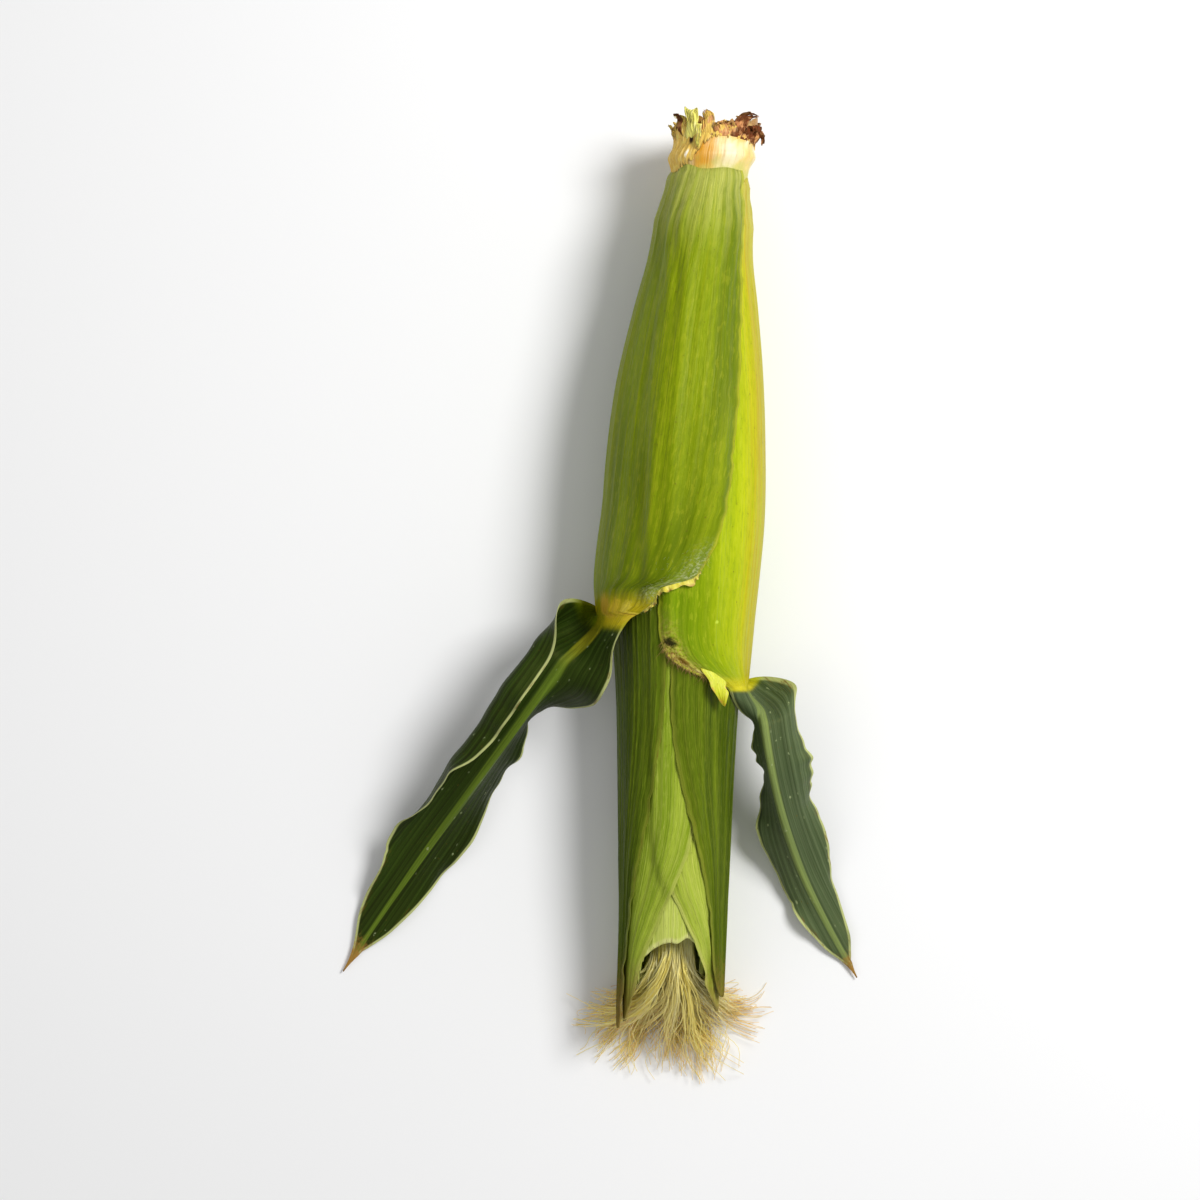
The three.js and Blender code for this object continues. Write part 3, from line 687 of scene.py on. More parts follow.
def surface(leaf, along, u):
    """Both faces of the wrapped part of a leaf at (along, u), and its distance from the margin."""
    level = leaf["level"]
    before, after = reach(leaf, along)
    side = np.where(u < 0, before, after)
    ragged = 0.5 * ripple(along / 9, level * 7 + 1) * np.abs(u) ** 3
    angle = leaf["centre"] + u * side + np.sign(u) * ragged
    open_air = 1 - covered(leaf, along, angle)
    # A leaf grows out of the shank at its foot and rises over the leaves inside it from there.
    from_start = np.maximum(0, along - leaf["start"])
    rooted = shank_outline(along, angle) - 0.25 + 0.5 * smooth(0, 2.5, from_start)
    radius = mix(rooted, layer_radius(leaf, along, angle), smooth(0, 11, from_start))
    edge = (1 - np.abs(u)) * rad(side) * radius
    root_swell = 0.55 * smooth(0, 2.5, from_start) * smooth(12, 4, from_start)
    thin = mix(0.16, THICKNESS, smooth(0, 4.5, edge)) + root_swell
    flute = 0.16 * ripple(u * 9 + along / 260, level * 5 + 2) * smooth(0, 3, edge)
    near_floor = smooth(16, 40, np.abs(turned(angle - 180)))
    hug = -0.30 * smooth(5, 0, edge)
    curl = 0.45 * smooth(3.2, 0, edge) * np.clip(ripple(along / 17, level * 3 + 5), -0.2, 1.2)
    inner = radius + (hug + curl * open_air) * near_floor
    outer = inner + thin + flute * near_floor
    outer = np.where(near_floor < 0.5, np.minimum(outer, radius + THICKNESS), outer)
    return angle, inner, outer, edge


def long_leaf(leaf, material, rows=150, columns=104):
    v = lengthwise(0, 1, rows) ** 0.9
    u = np.broadcast_to(closer_at_ends(columns), (rows, columns))
    along = mix(leaf["start"], leaf["to"], v) + np.zeros((1, columns))
    # The tip is drawn to a blunt point, so its corners lie further back.
    back = 9.0 * smooth(0.9, 1, v) * np.abs(u) ** 1.8
    along = along - back + 0.8 * ripple(u * 2, 70 + leaf["level"]) * (1 - v) ** 20
    angle, inner, outer, edge = surface(leaf, along, u)
    edge = np.minimum(edge, (1 - v) * (leaf["to"] - leaf["start"]) + 0.2)
    width = rad(leaf["wrap"]) * SPREAD_RADIUS
    return sheet(
        f"{leaf['name']}_skin", ring(along, angle, inner), ring(along, angle, outer), material,
        across=u * width, along=along, edge=edge,
    )


# --- flag leaves ---


def curve(points, t):
    """A point and the direction of a uniform Catmull-Rom line at t from 0 to 1."""
    p = np.array(points, float)
    p = np.vstack([2 * p[0] - p[1], p, 2 * p[-1] - p[-2]])
    last = len(points) - 1

    def at(t):
        x = np.clip(t, 0, 1) * last
        i = np.minimum(x.astype(int), last - 1)
        w = (x - i)[..., None]
        a, b, c, d = p[i], p[i + 1], p[i + 2], p[i + 3]
        m, n = (c - a) / 2, (d - b) / 2
        return b + m * w + (3 * (c - b) - 2 * m - n) * w**2 + (2 * (b - c) + m + n) * w**3

    return at(t), unit(at(t + 1e-4) - at(t - 1e-4))


def of_side(leaf, u, read):
    """What read gives for the half of the blade that u lies on."""
    left, right = (read(half) for half in leaf["halves"])
    return np.where(u < 0, left, right)


def cross_section(leaf, t, u):
    """Across and up from the midrib, which way the half heads there, in radians, and its width."""
    share, steps = np.abs(u), 14
    width, rise, roll = (
        of_side(leaf, u, lambda half: through(half[key], t)) for key in ("width", "rise", "roll")
    )
    nicks = np.maximum(0, ripple(t * 30 + np.where(u < 0, 3, 0), 43) - 1.1)
    width = width * (1 - 0.75 * smooth(0.88, 1, t)) - 0.9 * nicks * smooth(0.2, 0.4, t)

    def heading(s):
        return rad(rise + roll * smooth(0.28, 0.86, s))

    angles = np.stack([heading(share * (i + 0.5) / steps) for i in range(steps)])
    reach_out = share * width / steps
    return np.cos(angles).sum(0) * reach_out, np.sin(angles).sum(0) * reach_out, heading(share), width


def blade_surface(leaf, t, u):
    """Points of the free blade at (t, u), which way is out there, its length and its half width."""
    line, _ = curve(leaf["midrib"], np.linspace(0, 1, 200))
    length = np.linalg.norm(np.diff(line, axis=0), axis=1).sum()
    middle, ahead = curve(leaf["midrib"], t)
    flat = unit(np.stack([ahead[..., 1], -ahead[..., 0], 0 * t], -1))
    up = unit(np.cross(flat, ahead))
    up = np.where(up[..., 2:] < 0, -up, up)
    roll = rad(through(leaf["turn"], t))[..., None]
    across = flat * np.cos(roll) - up * np.sin(roll)
    out = up * np.cos(roll) + flat * np.sin(roll)
    side = np.where(u < 0, -1.0, 1.0)[..., None]
    far, high, heading, width = cross_section(leaf, t, u)
    wave = 1.7 * np.abs(u) ** 3 * np.sin(t * length / 4.6 + np.where(u > 0, 0, 1.7))
    wave = (wave + 0.5 * np.abs(u) ** 4 * ripple(t * 9, 41)) * smooth(0, 0.15, t) * smooth(1, 0.8, t)
    heading = heading[..., None]
    face = out * np.cos(heading) - across * side * np.sin(heading)
    on_blade = middle + across * side * far[..., None] + out * high[..., None] + face * wave[..., None]
    swept = of_side(leaf, u, lambda half: half["sweep"]) * u * u * smooth(0.3, 0, t)
    on_blade = on_blade - ahead * swept[..., None]

    before, after = reach(leaf, leaf["ligule"])
    angle = leaf["centre"] + u * np.where(u < 0, before, after)
    along = leaf["ligule"] + t * 0.9 * length
    on_ear = ring(along, angle, layer_radius(leaf, np.minimum(along, leaf["ligule"] + 4), angle) + 0.2)
    from_ear = ring(along, angle, 1.0) - ring(along, angle, 0.0)
    quick = np.sqrt(1 - (1 - np.minimum(1, t / of_side(leaf, u, lambda half: half["leaves"]))) ** 2)
    away = mix(smooth(0, 0.17, t), quick, np.abs(u) ** 1.5)[..., None]
    point = mix(on_ear + from_ear * (5 * smooth(0, 0.12, t))[..., None], on_blade, away)
    return point, unit(mix(from_ear, face, away)), length, width


def flag_leaf(leaf, material, rows=(96, 120), columns=100):
    ligule = leaf["ligule"]
    u = closer_at_ends(columns)
    v = np.linspace(0, 1, rows[0], endpoint=False)[:, None]
    grid = np.broadcast_to(u, (rows[0], columns))
    along = mix(leaf["start"], ligule, v) + np.zeros((1, columns))
    along = along + 0.7 * ripple(grid * 2, 70 + leaf["level"]) * (1 - v) ** 16
    angle, inner, outer, edge = surface(leaf, along, grid)
    wrap = (leaf["after"][0][1] + leaf["before"][0][1]) / 2
    width = 1.15 * rad(wrap) * SPREAD_RADIUS / 2

    t = np.broadcast_to(lengthwise(0, 1, rows[1]) ** 1.3, (rows[1], columns))
    wide = np.broadcast_to(u, t.shape)
    point, out, length, half = blade_surface(leaf, t, wide)
    blade_edge = (1 - np.abs(wide)) * half
    half = half * (1 - 0.75 * smooth(0.9, 1, t))
    keel = 0.9 * np.exp(-((np.abs(wide) * half / 1.6) ** 2)) * smooth(1, 0.6, t)
    vein = 0.05 * np.cos(wide * half * 2 * math.pi / RIDGE_SPACING)
    thin = mix(0.14, 0.42, smooth(0, 2, blade_edge)) * mix(1, 0.5, smooth(0.85, 1, t))
    far = point + out * (thin + (keel + vein) * smooth(0, 0.04, t))[..., None]
    # The midrib stands out on the lower face and only a little on the upper one.
    rib = keel * smooth(0, 0.04, t)
    near = point - out * (0.9 * rib)[..., None]
    far = far - out * (0.8 * rib)[..., None]
    sunk = np.maximum(0, 0.02 - np.minimum(near[..., 2], far[..., 2]))
    near[..., 2] += sunk
    far[..., 2] += sunk

    def both(sheath, blade):
        return np.concatenate([sheath + 0 * along, blade + 0 * t])

    blade_along = ligule + t * length
    up_to, past = leaf["collar"]
    collar_from = leaf["collar_from"]
    collar = smooth(ligule + past, ligule + past * 0.35, blade_along)
    collar = collar * smooth(collar_from - 0.14, collar_from, wide)
    sheath_collar = smooth(ligule - up_to, ligule - up_to * 0.2, along)
    # Down grows along the margin that lies on the ear's upper side.
    upper = grid > 0 if leaf["centre"] < 0 else grid < 0
    down = smooth(ligule - 26, ligule - 10, along) * smooth(9, 1, edge) * (1 - sheath_collar) * upper
    return sheet(
        f"{leaf['name']}_skin",
        np.concatenate([ring(along, angle, inner), near]), np.concatenate([ring(along, angle, outer), far]),
        material, across=both(grid * width, wide * half), along=both(along, blade_along),
        edge=both(edge, blade_edge),
        blade=both(0, smooth(ligule + 0.3 * past, ligule + 1.2 * past, blade_along)),
        collar=both(sheath_collar, collar), down=both(down, 0), tip=both(0, smooth(0.88, 1, t)),
    )


# --- inner husk and shank ---


def mouth_along(angle):
    """Where the wrapped leaves end: they are open further back on the upper side."""
    facing_up = (0.5 + 0.5 * np.cos(rad(angle - 12))) ** 1.6
    return BUNDLE_END - 17 * facing_up + 0.8 * ripple(rad(angle) * 1.5, 5)


# Round the mouth: ahead of its edge, share of the radius, distance in from the edge, and darkness, which is
# painted shade deeper in the mouth.
LIP = [
    (0.5, 0.975, 0, 0), (0.6, 0.945, 0.3, 0), (0.1, 0.92, 1, 0.1), (-3, 0.89, 3, 0.5), (-8, 0.86, 8, 0.9),
    (-14, 0.8, 14, 1), (-17, 0.55, 16, 1), (-17.5, 0.2, 18, 1),
]


def inner_husk(material, rows=150, columns=210):
    angle = whole_turn(columns)
    end = mouth_along(angle)
    along = mix(HUSK_START, end, lengthwise(0, 1, rows))
    pleat = 0.35 * ripple(rad(angle) * 2, 11, low=3, high=14) * smooth(90, 220, along)
    radius = base_radius(along, angle) - 0.12 - np.abs(pleat) * 0.6
    # The mouth turns in over its thin rim and down to where the silk comes out.
    ahead, narrow, lip_edge, lip_painted_shade = np.array(LIP).T[..., None]
    past = np.where(ahead > -10, np.maximum(0, end - MOUTH_INSIDE), 0)
    rings = np.concatenate([
        ring(HUSK_START - 1.0, angle, radius[:1] * 0.5),
        ring(along, angle, radius),
        ring(np.minimum(end, MOUTH_INSIDE) + ahead + past, angle, radius[-1:] * narrow),
    ])
    return wrapped(
        "inner_husk_skin", rings, material, across=turned(angle) * 0.36, along=rings[..., 1],
        edge=np.concatenate([[[20.0]], lengthwise(226, 0, rows), lip_edge]),
        # The painted shade of the mouth, darkest deepest in.
        deep=np.concatenate([np.zeros((rows + 1, 1)), lip_painted_shade]),
    )


def mouth_leaf(name, turn, span, share, length, material, rows=44, columns=84):
    """One thin innermost leaf that shows in the mouth, round the silk."""
    u, v = crosswise(-1, 1, columns), lengthwise(0, 1, rows)
    angle = turn + u * span / 2 * (1 - 0.35 * v**3)
    end = np.minimum(mouth_along(angle) + length, MOUTH_LEAF_END) - 9 * np.abs(u) ** 2.5
    end = end + 0.8 * ripple(u * 3, turn + 400)
    along = mix(MOUTH_LEAF_START, end, v)
    radius = base_radius(np.minimum(along, BUNDLE_END), angle) * share + 0.5 * ripple(u * 3 + v, 9) * v
    thin = mix(0.35, 0.12, np.abs(u) ** 4) * mix(1, 0.5, v)
    edge = np.minimum((1 - np.abs(u)) * 16, (1 - v) * 20)
    return sheet(name, ring(along, angle, radius), ring(along, angle, radius + thin), material,
                 across=u * 18, along=along - 12, edge=edge)


def shank_outline(along, angle):
    flute = 0.09 * ripple(rad(angle) * 4, 21, low=2, high=9)
    node = 1.15 * np.exp(-(((along - 13) / 2.2) ** 2)) * (1 + 0.12 * np.sin(rad(angle) * 5))
    return through(BODY_PROFILE, along) + node + flute - 0.1


def shank(material, face_rows=30, columns=180):
    angle = whole_turn(columns)
    a = rad(angle)
    snap = 0.9 * np.sin(3 * a + 1) + 0.7 * np.cos(7 * a) + 0.35 * ripple(a * 6, 8)
    face = lengthwise(0.05, 0.97, face_rows)
    pits = 0.5 * ripple(face * 9, 3) * np.cos(3 * a + face * 7) + 0.35 * ripple(a * 5 + face * 11, 9)
    face_along = 3.6 - 1.5 * face**2 + snap * face**3 + pits * face * (1 - face**4)
    along = np.concatenate([lengthwise(2.2, 24, 90), lengthwise(24.5, 42.5, 20)])
    side_along = along + snap * smooth(7, 2.2, along)
    side_radius = shank_outline(side_along, angle) * (1 - 0.03 * smooth(4, 2, along))
    rings = np.concatenate([
        ring(face_along, angle, shank_outline(2.0, angle) * face), ring(side_along, angle, side_radius),
    ])
    return wrapped(
        "shank_skin", rings, material, across=turned(angle) * 0.21, along=rings[..., 1],
        end=np.arange(len(rings))[:, None] < face_rows, face_x=rings[..., 0], face_z=rings[..., 2],
    )


# The torn leaf round the shank: where its lower and upper edges run, as (angle, along).
CUFF_FOOT = [
    (-125, 15), (-100, 18), (-70, 18.5), (-48, 16.5), (-30, 14.5), (-16, 9.6), (0, 7.4), (20, 7.0), (60, 8.2),
    (100, 10), (150, 14),
]
CUFF_RIM = [
    (-125, 5.5), (-80, 6.4), (-50, 6), (-20, 5.4), (10, 5.2), (40, 5.6), (75, 6.6), (110, 6), (150, 5),
]
# Each tatter: angle, tone, its widths along its path, twist, bowl, and the path itself, as (out from the
# shank, up past the cuff's rim, aside).
TATTERS = [
    (-37, 0.02, [4.4, 4.8, 4.8, 4.0, 2.6, 1.0], 10, 0.35,
     [(-0.7, -2.6, 0), (0.5, 0.6, 0), (0.5, 4, 0.3), (1.4, 6.4, 0.6), (2.9, 4.8, 1.2), (2.8, 0.8, 2.0)]),
    (-57, 0.34, [6, 6, 5, 3.4, 2, 0.8], -35, 0.3,
     [(-0.7, -3, 0), (0.4, 0, 0), (0.4, 2.2, 0.5), (0.2, 4.0, 0.6), (0.9, 5.2, -0.6), (2, 5.6, -2.2)]),
    (-60, 0.95, [3, 3, 2.4, 1.6, 0.8], 20, 0.4,
     [(-0.7, -2, 0), (0.6, 1.5, 0.2), (0.8, 4.4, 0.4), (1.4, 5.8, 0.2), (2.4, 6.0, -1.2)]),
    (-25, 0.06, [2.2, 2.0, 1.6, 1.3, 0.5], 20, 0.3,
     [(-0.2, 1.5, 0), (1.2, 1.6, 0), (1.7, -1, 0.2), (1.6, -4, -0.2), (1.1, -6.6, 0.3)]),
    (-15, 0.55, [4, 4.4, 4, 2.6, 1.4], 25, 0.5,
     [(-0.6, -2, 0), (0.3, 0.5, 0), (0.1, 3.4, 0.4), (-1.2, 5.6, -0.6), (-3, 6.4, -1.6)]),
    (6, 0.68, [5, 5.4, 5, 3.8, 2.4], -10, 0.45,
     [(-0.6, -2, 0), (0.5, 0.1, 0), (1.1, 1.8, 0), (2.4, 2.4, 0.4), (3.4, 1.2, 0.8)]),
    (31, 0.9, [5, 5, 4.2, 3, 1.6], 30, 0.4,
     [(-0.6, -2, 0), (0.4, 0, 0.2), (0.8, 2.6, 1.2), (2, 4.2, 3.2), (3.8, 4.2, 5.6)]),
    (52, 1.0, [6.5, 6.8, 6, 4.6, 2.4], -15, 0.5,
     [(-0.6, -2, 0), (0.6, 0, 0), (1.7, 2.0, 0.4), (2.9, 1.7, 0.9), (3.1, -0.8, 1.4)]),
    (78, 0.8, [5, 5, 4, 2.6, 1.2], 20, 0.4,
     [(-0.6, -2, 0), (0.7, -0.3, 0), (1.7, 0.8, 0), (2.3, -0.8, 0.3), (2.0, -3.2, 0.6)]),
]


def cuff_radius(along, angle):
    return shank_outline(along, angle) + 0.12 + 0.25 * np.maximum(0, ripple(angle / 16 + along / 9, 17))


def tatter(name, seed, grid, material, angle, tone, width, twist, bowl, path):
    """One torn strip that rises from the cuff's rim and curls."""
    rows, columns = grid
    rng = np.random.default_rng(seed)
    u = np.broadcast_to(np.linspace(-1, 1, columns), (rows, columns))
    ends = 1 - 0.16 * np.abs(ripple(u[:1] * 3, seed)) - 0.1 * rng.uniform(0, 1, (1, columns))
    t = lengthwise(0, 1, rows) * ends
    a = rad(angle)
    out, aside = np.array([math.sin(a), 0, math.cos(a)]), np.array([math.cos(a), 0, -math.sin(a)])
    up = np.array([0, -1.0, 0])
    rim = float(through(CUFF_RIM, angle))
    base = ring(rim, angle, float(cuff_radius(rim, angle)))
    middle, ahead = curve([base + out * p[0] + up * p[1] + aside * p[2] for p in path], t)
    side = unit(aside - ahead * (ahead @ aside)[..., None])
    face = np.cross(ahead, side)
    turn = rad(twist * t + 8 * ripple(t * 2, seed + 1))[..., None]
    side, face = side * np.cos(turn) + face * np.sin(turn), face * np.cos(turn) - side * np.sin(turn)
    half = through([(i / (len(width) - 1), w / 2) for i, w in enumerate(width)], t)
    # Near its foot the strip follows the round of the shank, further up it folds by itself.
    round_off = -(half * u) ** 2 / (2 * SHANK_RADIUS) * smooth(0.6, 0.2, t)
    crease = 0.22 * ripple(t * 3 + u * 2.2, seed + 2) * smooth(0, 0.3, t)
    fold = bowl * half * u**2 * smooth(0.2, 0.6, t) + crease
    sense = np.sign(face[0, 0] @ out)
    lift = (round_off + fold * (1 if seed % 2 else -1)) * sense
    skin = mix(0.38, 0.14, t) * (1 - 0.5 * u**4)
    near = middle + side * (half * u)[..., None] + face * lift[..., None]
    far = near + face * sense * skin[..., None]
    for face_points in (near, far):
        face_points[..., 2] = np.maximum(face_points[..., 2], 0.3)
    edge = np.minimum((1 - np.abs(u)) * half, (1 - t / np.maximum(ends, 0.1)) * 8)
    return sheet(name, near, far, material, across=u * half + seed * 7.0, along=t * 12 + seed, edge=edge,
                 tone=tone)


def torn_sheath(material, rows=32, columns=230):
    """What is left of a stalk leaf: a thin cuff that clings to the shank, and tatters on its rim."""
    angle = np.broadcast_to(crosswise(-125, 150, columns), (rows, columns))
    down = lengthwise(0, 1, rows)
    foot = through(CUFF_FOOT, angle) + 0.7 * ripple(angle / 9, 35) + 0.3 * ripple(angle / 2.5, 36)
    top = through(CUFF_RIM, angle) + 0.5 * ripple(angle / 4, 37)
    along = mix(top, foot, down)
    radius = cuff_radius(along, angle)
    # A slit in the cuff: the cuff is thinner there, and its darkness is painted shade.
    shaded_slit = np.exp(-(((angle + 36) / 4.2) ** 2) - (((along - 8.2) / 1.7) ** 2))
    # A painted highlight just below the slit.
    glint = np.exp(-(((angle + 38 + (along - 12.6) * 1.5) / 2.2) ** 2) - (((along - 12.6) / 1.4) ** 2))
    strips = [sheet(
        "torn_sheath_cuff", ring(along, angle, radius - 0.1),
        ring(along, angle, radius + mix(0.3, 0.1, down) - 0.25 * shaded_slit), material,
        across=angle * 0.21, along=along, edge=np.minimum(1 - down, down) * (foot - top),
        tone=0.43 + 0.2 * smooth(-10, 50, angle),
        deep=smooth(0.35, 0.7, shaded_slit), pale=smooth(0.35, 0.7, glint),
    )]
    rng = np.random.default_rng(31)
    small = []
    for around in [*range(-122, -66, 9), *range(92, 150, 8), -42, -18, 20, 42, 66]:
        tall, lean, curl = rng.uniform(1.6, 5.4), rng.normal(0, 1.2), rng.choice([-1.0, 1.0])
        tone = np.interp(around, [-120, -20, 20, 60, 150], [0.5, 0.4, 0.7, 0.95, 0.7])
        small.append((
            around + rng.uniform(-3, 3), tone + rng.normal(0, 0.1), [2.2, rng.uniform(1.8, 3.6), 1.6, 0.7],
            rng.uniform(-60, 60), 0.4,
            [(-0.5, -1.8, 0), (0.3, 0, 0), (0.4 + curl * 0.4, tall * 0.6, lean * 0.5),
             (0.6 + curl * tall * 0.5, tall, lean)],
        ))
    for number, shape in enumerate(TATTERS + small):
        grid = (46, 26) if number < len(TATTERS) else (30, 16)
        strips.append(tatter(f"tatter_{number}", 200 + number, grid, material, *shape))
    return strips


# --- strands ---


def finished(name, source, tree, **inputs):
    """The plain mesh that a Geometry Nodes tree makes from a source mesh."""
    holder = add_object(name, source)
    modifier = holder.modifiers.new("grow", "NODES")
    modifier.node_group = tree
    for item in tree.interface.items_tree:
        if item.item_type == "SOCKET" and item.in_out == "INPUT" and item.name in inputs:
            modifier[item.identifier] = inputs[item.name]
    made = holder.evaluated_get(bpy.context.evaluated_depsgraph_get())
    mesh = bpy.data.meshes.new_from_object(made)
    bpy.data.objects.remove(holder)
    mesh.name = name
    mesh.shade_smooth()
    return add_object(name, mesh)


def new_tree(name, **inputs):
    """A Geometry Nodes tree with named inputs. A value gives the input's kind and default."""
    tree = bpy.data.node_groups.new(name, "GeometryNodeTree")
    tree.interface.new_socket("Geometry", in_out="OUTPUT", socket_type="NodeSocketGeometry")
    tree.interface.new_socket("Geometry", in_out="INPUT", socket_type="NodeSocketGeometry")
    kinds = {int: "NodeSocketInt", float: "NodeSocketFloat", type(None): "NodeSocketMaterial"}
    for key, value in inputs.items():
        socket = tree.interface.new_socket(key, in_out="INPUT", socket_type=kinds[type(value)])
        if value is not None:
            socket.default_value = value
    g = Graph(tree)
    entry = tree.nodes.new("NodeGroupInput")
    return tree, g, {socket.name: Wire(g, socket) for socket in entry.outputs if socket.name}


VECTORS = {"aim", "toward", "root", "bend"}


def kind_of(name):
    return "FLOAT_VECTOR" if name in VECTORS else "FLOAT"


def remember(g, geometry, **values):
    """The geometry with a named attribute for each value."""
    for name, value in values.items():
        geometry = g.add("GeometryNodeStoreNamedAttribute", data_type=kind_of(name), Geometry=geometry,
                         Name=name, Value=value)
    return geometry


def recall(g, name):
    return g.add("GeometryNodeInputNamedAttribute", data_type=kind_of(name), Name=name)


def random_value(g, low, high, seed, number=None):
    node = g.tree.nodes.new("FunctionNodeRandomValue")
    node.data_type = "FLOAT_VECTOR" if isinstance(low, tuple) else "FLOAT"
    g.put(node.inputs["ID"], number)
    for socket, value in zip([s for s in node.inputs if s.enabled], (low, high)):
        g.put(socket, value)
    g.put(node.inputs["Seed"], seed)
    return Wire(g, [s for s in node.outputs if s.enabled][0])


def strands(g, given, roots, shape, taper):
    """Puts a line on each root, bends it by shape(t) and makes tapered three-sided tubes of them. The
    roots carry all attributes that shape reads."""
    line = g.add("GeometryNodeCurvePrimitiveLine")
    line = g.add("GeometryNodeResampleCurve", Curve=line, Count=given["Steps"])
    lines = g.add("GeometryNodeInstanceOnPoints", Points=roots, Instance=line)
    lines = g.add("GeometryNodeRealizeInstances", lines)
    t = g.add("GeometryNodeSplineParameter", output="Factor")
    lines = remember(g, lines, strand_t=t)
    lines = g.add("GeometryNodeSetPosition", Geometry=lines, Position=shape(t))
    profile = g.add("GeometryNodeCurvePrimitiveCircle", Resolution=3, Radius=1.0)
    size = given["Radius"] * (1 - taper * t)
    lines = g.add("GeometryNodeSetCurveRadius", Curve=lines, Radius=size)
    tubes = g.add("GeometryNodeCurveToMesh", Curve=lines, Profile_Curve=profile, Fill_Caps=True,
                  Scale=size)
    tubes = g.add("GeometryNodeRealizeInstances", tubes)
    tubes = g.add("GeometryNodeSetMaterial", Geometry=tubes, Material=given["Material"])
    g.put(g.tree.nodes.new("NodeGroupOutput").inputs[0], tubes)


def hair_tree():
    """Hairs on the faces of a patch. The patch's attribute aim says where they point."""
    tree, g, given = new_tree(
        "hairs", Density=1.0, Shortest=0.001, Longest=0.002, Lean=0.5, Spread=0.3, Radius=0.00005,
        Steps=5, Seed=1, Material=None,
    )

    def any_way(step):
        return random_value(g, (-1, -1, -1), (1, 1, 1), given["Seed"] + step)

    density = given["Density"] * recall(g, "density")
    points = g.add("GeometryNodeDistributePointsOnFaces", Mesh=given["Geometry"], Density=density,
                   Seed=given["Seed"])
    normal = Wire(g, points.socket.node.outputs["Normal"])
    aim = g.vmath("NORMALIZE", recall(g, "aim"))
    toward = g.vmath("ADD", g.scaled(normal, 1 - given["Lean"]), g.scaled(aim, given["Lean"]))
    toward = g.vmath("ADD", toward, g.scaled(any_way(5), given["Spread"]))
    points = remember(
        g, points, toward=g.vmath("NORMALIZE", toward),
        length=random_value(g, given["Shortest"], given["Longest"], given["Seed"] + 9),
        root=g.add("GeometryNodeInputPosition"), bend=any_way(13),
    )

    def shape(t):
        length = recall(g, "length")
        reach_out = g.scaled(recall(g, "toward"), length * t)
        swerve = g.scaled(recall(g, "bend"), length * t * t * 0.35)
        return g.vmath("ADD", g.vmath("ADD", recall(g, "root"), reach_out), swerve)

    strands(g, given, points, shape, 0.8)
    return tree


def silk_tree():
    """Silk in locks that leave the mouth of the husk, curl to one side or the other and fall."""
    tree, g, given = new_tree(
        "silk", Locks=26, Strands=42, Steps=28, Mouth=0.0058, Inside=0.0125, Shortest=0.028, Longest=0.0465,
        Radius=0.00016, Seed=20, Material=None,
    )
    index = g.add("GeometryNodeInputIndex")
    lock = (index / given["Strands"]).floor()
    points = g.add("GeometryNodePoints", Count=given["Locks"] * given["Strands"])

    def by_lock(low, high, step):
        return random_value(g, low, high, given["Seed"] + step, lock)

    def by_strand(low, high, step):
        return random_value(g, low, high, given["Seed"] + 40 + step, index)

    aside = (lock + 0.5) / given["Locks"] * 2 - 1
    loose = by_strand(0.0, 1.0, 12) ** 4.0
    curl = aside * 0.75 + by_lock(-1.8, 1.8, 2) + by_strand(-0.14, 0.14, 3) + by_strand(-0.9, 0.9, 16) * loose
    longest = random_value(g, given["Shortest"], given["Longest"], given["Seed"] + 5, index)
    points = remember(
        g, points, aside=aside, loose=loose,
        curl=curl + 0.0003,
        length=by_lock(0.68, 1.0, 4) * longest,
        lift=by_lock(-0.15, 0.6, 6) + by_strand(-0.08, 0.08, 7),
        left=aside * given["Mouth"] + by_strand(-0.0012, 0.0012, 1),
        high=by_lock(-0.0045, 0.0042, 8) + by_strand(-0.0014, 0.0014, 9),
        wave=by_lock(0.0, 6.28, 10) + by_strand(-0.7, 0.7, 11),
        ground=by_strand(0.0006, 0.0030, 13),
        strand_tone=by_lock(0.1, 0.8, 14) + by_strand(-0.2, 0.2, 15),
    )

    def shape(t):
        """The first part of a strand lies inside the mouth, the rest (free) bends round a circle."""
        curl, length, loose, wave = (recall(g, name) for name in ("curl", "length", "loose", "wave"))
        inner = given["Inside"] / (length + given["Inside"])
        free = ((t - inner) / (1 - inner)).at_least(0.0)
        within = (t / inner).ramp(0.0, 1.0) * given["Inside"]
        bent = curl * free
        across = length * (1 - bent.cos()) / curl + recall(g, "aside") * free * free * 0.003
        slack = free * (loose * 0.0036 + 0.0010)
        across = across + (free * 9.0 + wave).sin() * slack + (free * 21.0 + wave * 3.1).sin() * slack * 0.3
        ahead = within + length * bent.sin() / curl + (free * 11.0 + wave * 2.3).sin() * slack * 0.5
        fall = length * (recall(g, "lift") * free - free * free * 1.05)
        fall = fall + (free * 7.0 + wave * 1.7).sin() * slack
        home = framed(ring(SILK_ROOT, 0.0, 0.0)).tolist()
        left = recall(g, "left") * (within / given["Inside"]).ramp(0.0, 1.0, 0.75, 1.0)
        z = (recall(g, "high") + fall + home[2] - within * 0.06).at_least(recall(g, "ground"))
        return g.vector(left + across + home[0], ahead * -1 + home[1], z)

    strands(g, given, points, shape, 0.45)
    return tree


# --- what grows on the flag leaves ---


def on_leaf(leaf, along, u, lift):
    """Points in the frame, in metres, a lift in millimetres over a leaf's outer face."""
    angle, _, outer, _ = surface(leaf, along, u)
    return framed(ring(along, angle, outer + lift))


